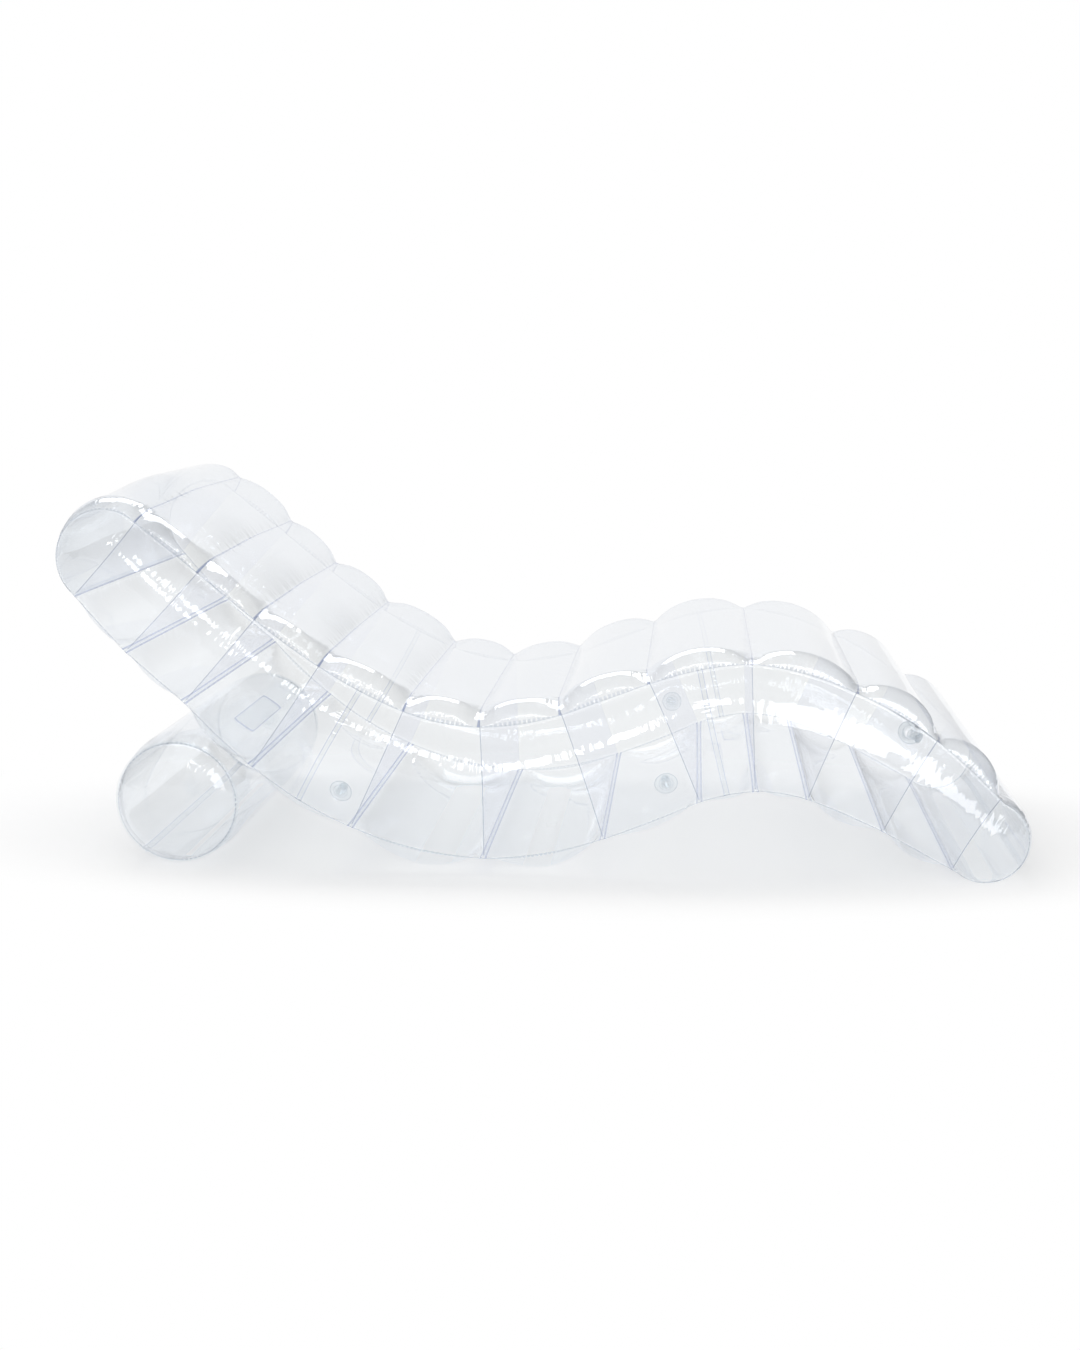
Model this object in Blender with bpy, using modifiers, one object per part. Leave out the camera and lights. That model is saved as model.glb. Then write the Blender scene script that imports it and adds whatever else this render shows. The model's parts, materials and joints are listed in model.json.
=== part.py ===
"""Inflatable pool lounger of clear film: thirteen air cells between two sheets, over a roller.

Metres, +Z up. The origin is on the floor under the middle of the lounger. The head is at -X,
the foot at +X, and the side wall that the photograph shows faces -Y.
"""

import math

import bmesh
import bpy
import numpy as np
from mathutils import Matrix, Vector

NAME = "pool_lounger"

# Driving sizes of the whole lounger
LENGTH = 1.85
HEIGHT = 0.74
WELD_WIDTH = 0.75

# The film, and the gap between pieces that are welded or seated face to face
FILM = 0.0004
CLEARANCE = 0.0003
LAYER = FILM + CLEARANCE

# Welds: the fin that stands out along each side, the flat strips over the baffles, the laps
LIP = 0.006
WELD_STRIP = 0.012
PANEL_LAP = 0.010

# How far in from the side welds each sheet curves. The top sheet turns down to them in a tight edge.
SHOULDER = 0.080
TOP_SHOULDER = 0.036
SHOULDER_ANGLES = (30, 60, 90)

# Baffle welds seen from the side, head to foot, as shares of LENGTH from the middle and of HEIGHT
TOP_SEAM_SHARES = (
    (-0.414, 0.907),
    (-0.350, 0.778),
    (-0.292, 0.659),
    (-0.226, 0.539),
    (-0.139, 0.425),
    (-0.061, 0.387),
    (0.023, 0.421),
    (0.113, 0.505),
    (0.217, 0.560),
    (0.323, 0.489),
    (0.405, 0.368),
    (0.470, 0.219),
)
BASE_SEAM_SHARES = (
    (-0.481, 0.718),
    (-0.429, 0.572),
    (-0.369, 0.440),
    (-0.300, 0.275),
    (-0.196, 0.116),
    (-0.057, 0.039),
    (0.067, 0.097),
    (0.166, 0.200),
    (0.223, 0.231),
    (0.277, 0.212),
    (0.354, 0.131),
    (0.425, 0.035),
)

# How far the top sheet's cross welds stand above the side welds, as a share of WELD_WIDTH, head to foot
TOP_RISE_SHARES = (0.066, 0.062, 0.051, 0.048, 0.038, 0.036, 0.032, 0.025, 0.013, 0.015, 0.010, 0.006)

# How far each cell swells past its cross welds, as a share of the distance between them
TOP_SWELL_SHARES = (0.07, 0.06, 0.09, 0.097, 0.095, 0.088, 0.13, 0.16, 0.17, 0.21, 0.21)
BASE_SWELL_SHARES = (0.17, 0.18, 0.22, 0.16, 0.232, 0.234, 0.15, 0.17, 0.17, 0.20, 0.20)
HEAD_SWELL_SHARE = 0.47
HEAD_WELD_SHARE = 0.46
FOOT_SWELL_SHARE = 0.642
FOOT_WELD_SHARE = 0.58
SIDE_SWELL_SHARE = 0.165

# Where points are taken along a cell's arc. In the seat's lowest cells and in the foot, two of them lie
# level and 0.5 mm too low, so that the facet between them rests flat on the floor.
CELL_SHARES = (0, 0.25, 0.5, 0.75, 1)
LOW_CELL = 6
LOW_CELL_SHARES = (0, 0.268, 0.518, 0.76, 1)
HEAD_SHARES = (0, 0.10, 0.20, 0.30, 0.39, 0.46, 0.54, 0.61, 0.70, 0.80, 0.90, 1)
FOOT_SHARES = (0, 0.11, 0.21, 0.31, 0.42, 0.51, 0.55, 0.64, 0.7215, 0.8385, 0.92, 1)
END_COLUMNS = 3

# The two sheets lap between this point of the foot's arc and the next
FOOT_JOINT = 5
TOP_LAP_ROWS = (0, 1, -2, -1)
SIDE_ROW_SHARES = (0, 0.14, 0.38, 0.62, 0.86, 1)

# The side walls are each made of a head, a seat and a foot panel, lapped in the middle of these cells
HEAD_LAP_CELL = 4
FOOT_LAP_CELL = 8

BAFFLE_FLANGE = 0.010
BAFFLE_END_GAP = 0.015

# The roller hangs under this cell of the back, welded on along one facet of its arc
ROLLER_CELL = 3
ROLLER_CELL_SHARES = (0, 0.22, 0.44, 0.74, 1)
BASE_CELL_SHARES = {ROLLER_CELL: ROLLER_CELL_SHARES, LOW_CELL: LOW_CELL_SHARES}
PATCH_FACET_INDEX = 2
PATCH_LENGTH = 0.27
PATCH_WIDTH = 0.048
PATCH_CORNER = 0.012
PATCH_CORNER_STEPS = 3
ROLLER_LENGTH = 0.75
FLOOR_SQUASH = 0.0005
SEAT_SQUASH = 0.0025
ROLLER_RING_DROP = 0.0125
ROLLER_SHOULDER = 0.080
ROLLER_LAP = 0.012
ROLLER_SEAM_ANGLE = -125
ROLLER_FRONT_SIDES = 6
ROLLER_BACK_SIDES = 9
DISC_DOME = 0.034
DISC_FLAT_RADIUS = 0.027
DISC_RINGS = 4
DISC_STEPS = 20

# Each valve is a flanged collar, a stem pushed into it, a plug in the stem and a flap below it
VALVE_FLANGE_RADIUS = 0.022
VALVE_FLANGE_THICKNESS = 0.0012
VALVE_FLANGE_BEVEL = 0.0004
VALVE_COLLAR_RADIUS = 0.0095
VALVE_BORE_RADIUS = 0.0080
VALVE_COLLAR_DEPTH = 0.014
STEM_HEAD_RADIUS = 0.0105
STEM_HEAD_THICKNESS = 0.0010
STEM_BORE_RADIUS = 0.0052
STEM_DEPTH = 0.020
PLUG_HEAD_RADIUS = 0.0090
PLUG_HEAD_THICKNESS = 0.0014
PLUG_SHANK_DEPTH = 0.008
FLAP_THICKNESS = 0.0008
VALVE_STEPS = 16
CUT_OVERRUN = 0.010

# Name, side of the lounger (-1 is the photographed one), cell, and place along the cell's second half
WALL_VALVES = (
    ("back_valve", -1, 4, 0.62),
    ("leg_valve", -1, 7, 0.62),
    ("seat_valve", 1, 7, 0.62),
)
ROLLER_VALVE = "roller_valve"
VALVE_ROW = 4

FILM_COLOUR = (0.86, 0.90, 0.96, 0.35)
VALVE_COLOUR = (0.90, 0.93, 0.96, 0.60)
PLUG_COLOUR = (0.93, 0.95, 0.97, 0.80)
FILM_ROUGHNESS = 0.06
VALVE_ROUGHNESS = 0.25

WELD_TOLERANCE = 0.00001
SCREW_TOLERANCE = 0.0001
FOLD_ANGLE = 40


# Plane geometry, in the side view's X and Z


def unit(vector):
    """The vector at length 1."""
    return vector / np.linalg.norm(vector)


def left_of(direction):
    """The direction a quarter turn to the left."""
    return np.array([-direction[1], direction[0]])


def arc(start, end, swell, shares, side):
    """Points at these shares of the arc from start to end that swells to the left (side 1) or right."""
    along = unit(end - start)
    out = left_of(along) * side
    half_chord = np.linalg.norm(end - start) / 2
    radius = (half_chord**2 + swell**2) / (2 * swell)
    centre = (start + end) / 2 + out * (swell - radius)
    half_sweep = 2 * math.atan(swell / half_chord)
    points = []
    for share in shares:
        angle = (2 * share - 1) * half_sweep
        points.append(centre + radius * (out * math.cos(angle) + along * math.sin(angle)))
    return np.array(points)


def swollen(start, end, swell_share, shares, side):
    """The arc whose swell is a share of its chord."""
    return arc(start, end, swell_share * np.linalg.norm(end - start), shares, side)


def seams(shares):
    """The welds' places in the side view, and the direction of the sheet at each."""
    points = np.array([[x * LENGTH, z * HEIGHT] for x, z in shares])
    ahead = np.vstack([points[1:], points[-1:]])
    behind = np.vstack([points[:1], points[:-1]])
    tangents = np.array([unit(a - b) for a, b in zip(ahead, behind)])
    return points, tangents


TOP_SEAMS, TOP_TANGENTS = seams(TOP_SEAM_SHARES)
BASE_SEAMS, BASE_TANGENTS = seams(BASE_SEAM_SHARES)
TOP_RISES = np.array([[share * WELD_WIDTH] for share in TOP_RISE_SHARES])
TOP_CROWNS = TOP_SEAMS + np.array([left_of(tangent) for tangent in TOP_TANGENTS]) * TOP_RISES
CELLS = len(TOP_SWELL_SHARES)


def strip_start(points, tangents, seam):
    """The head-side edge of a weld strip."""
    return points[seam] - tangents[seam] * WELD_STRIP / 2


def strip_end(points, tangents, seam):
    """The foot-side edge of a weld strip."""
    return points[seam] + tangents[seam] * WELD_STRIP / 2


def cell_weld(points, tangents, cell):
    """The side weld along one cell: its start, its middle on a smooth curve, and its end."""
    start = strip_end(points, tangents, cell)
    end = strip_start(points, tangents, cell + 1)
    reach = np.linalg.norm(end - start)
    middle = (start + end) / 2 + (tangents[cell] - tangents[cell + 1]) * reach / 8
    return start, middle, end


def cell_lines(points, crowns, tangents, swells, cell, side):
    """The side weld of one cell, and its crown between the cross welds, point for point."""
    start, middle, end = cell_weld(points, tangents, cell)
    weld = [start, (start + middle) / 2, middle, (middle + end) / 2, end]
    shares = BASE_CELL_SHARES.get(cell + 1, CELL_SHARES) if side < 0 else CELL_SHARES
    first = strip_end(crowns, tangents, cell)
    last = strip_start(crowns, tangents, cell + 1)
    return weld, list(swollen(first, last, swells[cell], shares, side))


def base_cell_lines(cell):
    """The side weld and the crown of one cell of the base sheet."""
    return cell_lines(BASE_SEAMS, BASE_SEAMS, BASE_TANGENTS, BASE_SWELL_SHARES, cell, -1)


def head_arc(tops, swell_share):
    """The arc that closes the head, from the first base weld to the first of these top points."""
    start = strip_start(BASE_SEAMS, BASE_TANGENTS, 0)
    return swollen(start, strip_start(tops, TOP_TANGENTS, 0), swell_share, HEAD_SHARES, 1)


def foot_arc(tops, swell_share):
    """The arc that closes the foot, from the last of these top points to the last base weld."""
    end = strip_end(BASE_SEAMS, BASE_TANGENTS, CELLS)
    return swollen(strip_end(tops, TOP_TANGENTS, CELLS), end, swell_share, FOOT_SHARES, 1)


HEAD_WELD = head_arc(TOP_SEAMS, HEAD_WELD_SHARE)
HEAD_CROWN = head_arc(TOP_CROWNS, HEAD_SWELL_SHARE)
FOOT_WELD = foot_arc(TOP_SEAMS, FOOT_WELD_SHARE)
FOOT_CROWN = foot_arc(TOP_CROWNS, FOOT_SWELL_SHARE)
MIDDLE_X = (HEAD_CROWN[:, 0].min() + FOOT_CROWN[:, 0].max()) / 2


def top_lines():
    """Side weld, crown and shoulders of the top sheet: from the first base weld, round the head, to the tip.

    Its shoulders tighten round the head's arc and widen again along the foot's, up to the joint.
    """
    lap = strip_end(BASE_SEAMS, BASE_TANGENTS, 0)
    weld = [lap] + list(HEAD_WELD)
    crown = [lap] + list(HEAD_CROWN)
    for cell in range(CELLS):
        cell_side, cell_crown = cell_lines(TOP_SEAMS, TOP_CROWNS, TOP_TANGENTS, TOP_SWELL_SHARES, cell, 1)
        weld += cell_side
        crown += cell_crown
    weld += list(FOOT_WELD[: FOOT_JOINT + 2])
    crown += list(FOOT_CROWN[: FOOT_JOINT + 2])
    head = np.interp(HEAD_SHARES, (0, 1), (SHOULDER, TOP_SHOULDER))
    foot = np.interp(FOOT_SHARES[: FOOT_JOINT + 2], (0, FOOT_SHARES[FOOT_JOINT]), (TOP_SHOULDER, SHOULDER))
    cells = np.full(len(weld) - 1 - len(head) - len(foot), TOP_SHOULDER)
    return np.array(weld), np.array(crown), np.concatenate([[SHOULDER], head, cells, foot])


def base_lines():
    """Side weld, crown and shoulders of the base sheet: from the first base weld, along the floor, to the tip."""
    start = strip_start(BASE_SEAMS, BASE_TANGENTS, 0)
    weld = [start]
    crown = [start]
    for cell in range(CELLS):
        cell_side, cell_crown = base_cell_lines(cell)
        weld += cell_side
        crown += cell_crown
    weld += list(FOOT_WELD[FOOT_JOINT:][::-1])
    crown += list(FOOT_CROWN[FOOT_JOINT:][::-1])
    return np.array(weld), np.array(crown), np.full(len(weld), SHOULDER)


# Building pieces in Blender


def fresh_collections():
    """Clears the scene and makes one collection for the lounger and one for what cuts it."""
    for obj in list(bpy.data.objects):
        bpy.data.objects.remove(obj, do_unlink=True)
    made = []
    for name in (NAME, "cutters"):
        collection = bpy.data.collections.new(name)
        bpy.context.scene.collection.children.link(collection)
        made.append(collection)
    return made


PARTS, CUTTERS = fresh_collections()


def paint(obj, colour, roughness):
    """Gives a piece its own material."""
    material = bpy.data.materials.new(obj.name)
    material.use_nodes = True
    shader = material.node_tree.nodes["Principled BSDF"]
    shader.inputs["Base Color"].default_value = (*colour[:3], 1)
    shader.inputs["Alpha"].default_value = colour[3]
    shader.inputs["Roughness"].default_value = roughness
    shader.inputs["Metallic"].default_value = 0
    obj.data.materials.append(material)


def mesh_object(name, vertices, faces, collection=PARTS):
    """A smooth shaded object from vertices and faces, with doubled points welded."""
    mesh = bpy.data.meshes.new(name)
    mesh.from_pydata([tuple(float(c) for c in v) for v in vertices], [], faces)
    work = bmesh.new()
    work.from_mesh(mesh)
    bmesh.ops.remove_doubles(work, verts=work.verts, dist=WELD_TOLERANCE)
    work.to_mesh(mesh)
    work.free()
    mesh.shade_smooth()
    obj = bpy.data.objects.new(name, mesh)
    collection.objects.link(obj)
    return obj


def grid_object(name, grid, flip=False):
    """A surface lofted through a grid of points. Its faces point along row step x column step."""
    rows, columns = grid.shape[:2]
    faces = []
    for i in range(rows - 1):
        for j in range(columns - 1):
            corner = i * columns + j
            face = (corner, corner + columns, corner + columns + 1, corner + 1)
            faces.append(face[::-1] if flip else face)
    return mesh_object(name, grid.reshape(-1, 3), faces)


def sides_of_fold(normals):
    """The mean normal of each side of a fold, where normals within FOLD_ANGLE of each other are one side."""
    sides = []
    for normal in normals:
        for side in sides:
            if unit(sum(side)) @ normal > math.cos(math.radians(FOLD_ANGLE)):
                side.append(normal)
                break
        else:
            sides.append([normal])
    return np.array([unit(sum(side)) for side in sides])


def push_out(obj, distance, only=None):
    """Moves a surface out so that its faces lie this far from where they were, also along its folds."""
    work = bmesh.new()
    work.from_mesh(obj.data)
    work.normal_update()
    moves = []
    for vertex in work.verts:
        if only is None or vertex.index in only:
            normals = sides_of_fold([np.array(face.normal) for face in vertex.link_faces])
            aims = np.full(len(normals), distance)
            moves.append((vertex, np.linalg.lstsq(normals, aims, rcond=None)[0]))
    for vertex, move in moves:
        vertex.co += Vector(move)
    work.to_mesh(obj.data)
    work.free()


def film(obj, side):
    """Thickens a surface into film, outward from it (side 1) or inward (side -1)."""
    modifier = obj.modifiers.new("film", "SOLIDIFY")
    modifier.thickness = FILM
    modifier.offset = side
    modifier.use_even_offset = True
    modifier.use_quality_normals = True
    paint(obj, FILM_COLOUR, FILM_ROUGHNESS)


def bored(obj, frame, radius):
    """Cuts a round hole through a wall, along the local Z of the frame."""
    bpy.ops.mesh.primitive_cylinder_add(vertices=VALVE_STEPS, radius=radius, depth=2 * CUT_OVERRUN)
    cutter = bpy.context.active_object
    cutter.name = obj.name + "_hole"
    cutter.matrix_world = frame
    cutter.display_type = "WIRE"
    cutter.hide_render = True
    for collection in list(cutter.users_collection):
        collection.objects.unlink(cutter)
    CUTTERS.objects.link(cutter)
    modifier = obj.modifiers.new("hole", "BOOLEAN")
    modifier.operation = "DIFFERENCE"
    modifier.object = cutter


def turned(name, profile, closed, steps):
    """A turned piece about its local Z. The profile is (radius, height) and runs down its outer side."""
    mesh = bpy.data.meshes.new(name)
    count = len(profile)
    edges = [(i, i + 1) for i in range(count - 1)]
    if closed:
        edges.append((count - 1, 0))
    mesh.from_pydata([(radius, 0, height) for radius, height in profile], edges, [])
    obj = bpy.data.objects.new(name, mesh)
    PARTS.objects.link(obj)
    screw = obj.modifiers.new("turn", "SCREW")
    screw.axis = "Z"
    screw.steps = steps
    screw.render_steps = steps
    screw.use_merge_vertices = True
    screw.merge_threshold = SCREW_TOLERANCE
    screw.use_normal_calculate = False
    return obj


def prism(name, outline, frame, thickness):
    """A flat plate with this outline in the local X and Y of the frame, centred on its local Z."""
    curve = bpy.data.curves.new(name, "CURVE")
    curve.dimensions = "2D"
    curve.fill_mode = "BOTH"
    curve.extrude = thickness / 2
    spline = curve.splines.new("POLY")
    spline.points.add(len(outline) - 1)
    for point, (x, y) in zip(spline.points, outline):
        point.co = (x, y, 0, 1)
    spline.use_cyclic_u = True
    obj = bpy.data.objects.new(name, curve)
    PARTS.objects.link(obj)
    obj.matrix_world = frame
    return obj


def frame_at(origin, x_axis, y_axis, z_axis):
    """The matrix of a local frame with these axes."""
    matrix = Matrix((x_axis, y_axis, z_axis)).transposed().to_4x4()
    matrix.translation = Vector(origin)
    return matrix


# The body's skin


def across(shoulder):
    """Places across half the width, from the lip in: distance from the side weld, share of the rise."""
    places = [(-LIP, 0.0), (0.0, 0.0)]
    for angle in SHOULDER_ANGLES:
        turn = math.radians(angle)
        places.append((shoulder * (1 - math.cos(turn)), math.sin(turn)))
    return places


def make_sheet(name, lines, flip, lapped=()):
    """One sheet, from its near lip to its far lip, flat where it rests, with its lapped rows on the outside."""
    rows = []
    for weld, crown, shoulder in zip(*lines):
        half = []
        for inset, rise in across(shoulder):
            x, z = weld + (crown - weld) * rise
            half.append((x - MIDDLE_X, -WELD_WIDTH / 2 + inset, max(z, 0)))
        rows.append(half + [(x, -y, z) for x, y, z in half[::-1]])
    obj = grid_object(name, np.array(rows), flip)
    columns = len(rows[0])
    lapped_rows = {row % len(rows) for row in lapped}
    push_out(obj, LAYER, {row * columns + column for row in lapped_rows for column in range(columns)})
    film(obj, -1)


def side_columns():
    """Names of the side wall's columns, head to foot, and each one's points, from top weld to base weld."""
    pairs = []
    for step in range(1, END_COLUMNS + 1):
        pairs.append((f"head {step}", HEAD_WELD[step - 1 - END_COLUMNS], HEAD_WELD[END_COLUMNS - step]))
    for cell in range(CELLS):
        top = cell_weld(TOP_SEAMS, TOP_TANGENTS, cell)
        base = cell_weld(BASE_SEAMS, BASE_TANGENTS, cell)
        for place, above, below in zip(("start", "middle", "end"), top, base):
            pairs.append((f"cell {cell + 1} {place}", above, below))
    for step in range(END_COLUMNS):
        pairs.append((f"foot {step + 1}", FOOT_WELD[step], FOOT_WELD[-1 - step]))
    shares = np.array(SIDE_ROW_SHARES)[:, None]
    columns = [HEAD_WELD[END_COLUMNS:-END_COLUMNS][::-1]]
    columns += [above + (below - above) * shares for _, above, below in pairs]
    columns.append(FOOT_WELD[END_COLUMNS:-END_COLUMNS])
    return ["head end"] + [name for name, _, _ in pairs] + ["foot end"], np.array(columns)


def distances_from(loop, points):
    """How far each point lies from a closed outline."""
    reach = np.roll(loop, -1, axis=0) - loop
    offsets = points[..., None, :] - loop
    shares = np.clip((offsets * reach).sum(axis=-1) / (reach**2).sum(axis=-1), 0, 1)
    return np.linalg.norm(offsets - reach * shares[..., None], axis=-1).min(axis=-1)


def side_heights(names, columns):
    """The wall's height at each column. Past the last baffle at either end it counts as it is there."""
    heights = np.linalg.norm(columns[:, 0] - columns[:, -1], axis=1)
    for index, name in enumerate(names):
        if name.startswith("head"):
            heights[index] = heights[names.index(f"head {END_COLUMNS}")]
        if name.startswith("foot"):
            heights[index] = heights[names.index("foot 1")]
    return heights


def side_surface():
    """Column names and grid of the near side wall, with a weld lip all round, and lap edges in two cells."""
    names, columns = side_columns()
    outline = np.vstack([columns[:, 0], columns[-1, 1:-1], columns[::-1, -1], columns[0, 1:-1][::-1]])
    half_heights = side_heights(names, columns)[:, None] / 2
    nearness = 1 - np.minimum(1, distances_from(outline, columns) / half_heights)
    edge = -WELD_WIDTH / 2
    grid = np.zeros((len(columns), len(SIDE_ROW_SHARES), 3))
    grid[:, :, 0] = columns[:, :, 0] - MIDDLE_X
    grid[:, :, 1] = edge - 2 * SIDE_SWELL_SHARE * half_heights * (1 - nearness**2)
    grid[:, :, 2] = columns[:, :, 1]
    grid = np.pad(grid, ((1, 1), (1, 1), (0, 0)), mode="edge")
    for lip in (grid[0], grid[-1], grid[:, 0], grid[:, -1]):
        lip[:, 1] = edge - LIP
    names = ["head lip"] + names + ["foot lip"]
    for cell in (HEAD_LAP_CELL, FOOT_LAP_CELL):
        middle = names.index(f"cell {cell} middle")
        edges = []
        for neighbour in (middle - 1, middle + 1):
            reach = grid[neighbour] - grid[middle]
            share = PANEL_LAP / 2 / np.linalg.norm(reach, axis=1)
            edges.append(grid[middle] + reach * share[:, None])
        grid = np.insert(grid, middle + 1, edges[1], axis=0)
        names.insert(middle + 1, f"cell {cell} lap end")
        grid = np.insert(grid, middle, edges[0], axis=0)
        names.insert(middle, f"cell {cell} lap start")
    return names, grid


def valve_column(names, cell):
    """The column before the facet that holds a valve, in the second half of its cell."""
    return names.index(f"cell {cell} end") - 1


def flatten_facet(grid, column, row):
    """Moves one corner of a facet sideways so that the facet is plane, as film lies under a stiff flange."""
    corner = grid[column, row]
    normal = np.cross(grid[column + 1, row] - corner, grid[column, row + 1] - corner)
    far = grid[column + 1, row + 1] - corner
    shift = -(normal[0] * far[0] + normal[2] * far[2]) / normal[1]
    grid[column + 1, row + 1, 1] = corner[1] + shift


def side_grids():
    """Column names, and for each side its grid with the valves' facets flattened."""
    names, near = side_surface()
    grids = {}
    for side in (-1, 1):
        grid = near * np.array([1, -side, 1])
        for _, valve_side, cell, _ in WALL_VALVES:
            if valve_side == side:
                flatten_facet(grid, valve_column(names, cell), VALVE_ROW)
        grids[side] = grid
    return names, grids


SIDE_NAMES, SIDE_GRIDS = side_grids()


def wall_valve_frames():
    """The frame of each valve on a side wall: its origin on the wall's outer face, local Z pointing out."""
    frames = {}
    for name, side, cell, share in WALL_VALVES:
        grid = SIDE_GRIDS[side]
        column = valve_column(SIDE_NAMES, cell)
        before = (grid[column, VALVE_ROW] + grid[column, VALVE_ROW + 1]) / 2
        after = (grid[column + 1, VALVE_ROW] + grid[column + 1, VALVE_ROW + 1]) / 2
        along = grid[column + 1, VALVE_ROW] - grid[column, VALVE_ROW]
        down = grid[column, VALVE_ROW + 1] - grid[column, VALVE_ROW]
        out = Vector(np.cross(along, down)).normalized()
        if out.y * side < 0:
            out = -out
        centre = Vector(before + (after - before) * share) + out * (2 * LAYER + FILM)
        up = (Vector((0, 0, 1)) - out * out.z).normalized()
        frames[name] = frame_at(centre, up.cross(out), up, out)
    return frames


def make_side_panels():
    """Head, seat and foot panel on each side. The seat panel lies over the other two at the laps."""
    first = SIDE_NAMES.index(f"cell {HEAD_LAP_CELL} lap start")
    last = SIDE_NAMES.index(f"cell {FOOT_LAP_CELL} lap start")
    lap_columns = 3
    panels = (
        ("head", slice(0, first + lap_columns), LAYER),
        ("seat", slice(first, last + lap_columns), 2 * LAYER),
        ("foot", slice(last, len(SIDE_NAMES)), LAYER),
    )
    frames = wall_valve_frames()
    for side, side_name in ((-1, "near"), (1, "far")):
        for panel, columns, start in panels:
            obj = grid_object(f"{side_name}_{panel}_panel", SIDE_GRIDS[side][columns], side < 0)
            push_out(obj, start)
            film(obj, 1)
            if panel == "seat":
                for name, valve_side, _, _ in WALL_VALVES:
                    if valve_side == side:
                        bored(obj, frames[name], VALVE_COLLAR_RADIUS + CLEARANCE)


def baffle_section(number, rise):
    """The web's section where the top sheet has this share of its rise: a line with a flange at each end."""
    half_flange = BAFFLE_FLANGE / 2
    top_inward = -left_of(TOP_TANGENTS[number])
    base_inward = left_of(BASE_TANGENTS[number])
    top = TOP_SEAMS[number] + top_inward * (LAYER - TOP_RISES[number] * rise)
    base = BASE_SEAMS[number] + base_inward * LAYER
    half_web = left_of(unit(base - top)) * FILM / 2
    top_edge = TOP_TANGENTS[number] * half_flange
    base_edge = BASE_TANGENTS[number] * half_flange
    top_face = top + top_inward * FILM
    base_face = base + base_inward * FILM
    return [
        top - top_edge,
        top_face - top_edge,
        top_face - half_web,
        base_face - half_web,
        base_face - base_edge,
        base - base_edge,
        base + base_edge,
        base_face + base_edge,
        base_face + half_web,
        top_face + half_web,
        top_face + top_edge,
        top + top_edge,
    ]


def make_baffles():
    """Twelve webs across the body, each with a flange welded under the top sheet and one on the base sheet.

    The two faces of a web are split along the same diagonals, so that they stay parallel where it is twisted.
    """
    shoulder = across(TOP_SHOULDER)
    half = [(BAFFLE_END_GAP, np.interp(BAFFLE_END_GAP, *zip(*shoulder)))]
    half += [(inset, rise) for inset, rise in shoulder if inset > BAFFLE_END_GAP]
    places = [(-WELD_WIDTH / 2 + inset, rise) for inset, rise in half]
    places += [(-y, rise) for y, rise in places[::-1]]
    for number in range(CELLS + 1):
        vertices = []
        for y, rise in places:
            vertices += [(x - MIDDLE_X, y, z) for x, z in baffle_section(number, rise)]
        sides = len(vertices) // len(places)
        faces = [tuple(range(sides)), tuple(range(len(vertices) - 1, len(vertices) - sides - 1, -1))]
        for place in range(len(places) - 1):
            for side in range(sides):
                first = place * sides + side
                second = place * sides + (side + 1) % sides
                if side < sides / 2:
                    faces += [(first, first + sides, second + sides), (first, second + sides, second)]
                else:
                    faces += [(first, first + sides, second), (second, first + sides, second + sides)]
        baffle = mesh_object(f"baffle_{number + 1:02d}", vertices, faces)
        paint(baffle, FILM_COLOUR, FILM_ROUGHNESS)


# The roller under the back


def roller_seat():
    """The plane facet of the base sheet that the roller is welded to: its middle and its outward normal."""
    crown = base_cell_lines(ROLLER_CELL - 1)[1]
    first, last = crown[PATCH_FACET_INDEX], crown[PATCH_FACET_INDEX + 1]
    return (first + last) / 2 - np.array([MIDDLE_X, 0]), -left_of(unit(last - first))


SEAT_POINT, SEAT_NORMAL = roller_seat()
SEAT_STACK = FILM + 2 * CLEARANCE
SEAT_DROP = SEAT_NORMAL[1] * (SEAT_STACK - SEAT_SQUASH)
ROLLER_RADIUS = (SEAT_POINT[1] + SEAT_DROP + FLOOR_SQUASH) / (1 - SEAT_NORMAL[1])
FLOOR_FLAT = ROLLER_RADIUS - FLOOR_SQUASH
SEAT_FLAT = ROLLER_RADIUS - SEAT_SQUASH
ROLLER_CENTRE = SEAT_POINT + SEAT_NORMAL * (SEAT_STACK + SEAT_FLAT)
RING_RADIUS = ROLLER_RADIUS - ROLLER_RING_DROP
FLOOR_ANGLE = -90.0
FLOOR_SPREAD = math.degrees(math.acos(FLOOR_FLAT / ROLLER_RADIUS))
SEAT_ANGLE = math.degrees(math.atan2(-SEAT_NORMAL[1], -SEAT_NORMAL[0]))
SEAT_SPREAD = math.degrees(math.acos(SEAT_FLAT / ROLLER_RADIUS))


def roller_angles():
    """Angles round the wrap, from its seam over the floor flat and the seat flat back to the seam."""
    half_lap = math.degrees(ROLLER_LAP / 2 / ROLLER_RADIUS)
    front = np.linspace(FLOOR_ANGLE + FLOOR_SPREAD, SEAT_ANGLE - SEAT_SPREAD, ROLLER_FRONT_SIDES + 1)
    full_turn = ROLLER_SEAM_ANGLE + 360
    back = np.linspace(SEAT_ANGLE + SEAT_SPREAD, full_turn - half_lap, ROLLER_BACK_SIDES + 1)
    seam_start = [ROLLER_SEAM_ANGLE - half_lap, ROLLER_SEAM_ANGLE + half_lap]
    angles = seam_start + [FLOOR_ANGLE - FLOOR_SPREAD] + list(front) + list(back) + [full_turn + half_lap]
    outer = [0] * (len(angles) - 2) + [1, 1]
    return list(zip(angles, outer))


def wrap_radius(free_radius, angle):
    """The wrap's radius at this angle, pressed flat on the floor and under the back."""
    radius = free_radius
    for flat_angle, distance in ((FLOOR_ANGLE, FLOOR_FLAT), (SEAT_ANGLE, SEAT_FLAT)):
        turn = math.radians(angle - flat_angle)
        if math.cos(turn) > 0:
            radius = min(radius, distance / math.cos(turn))
    return radius


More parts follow.
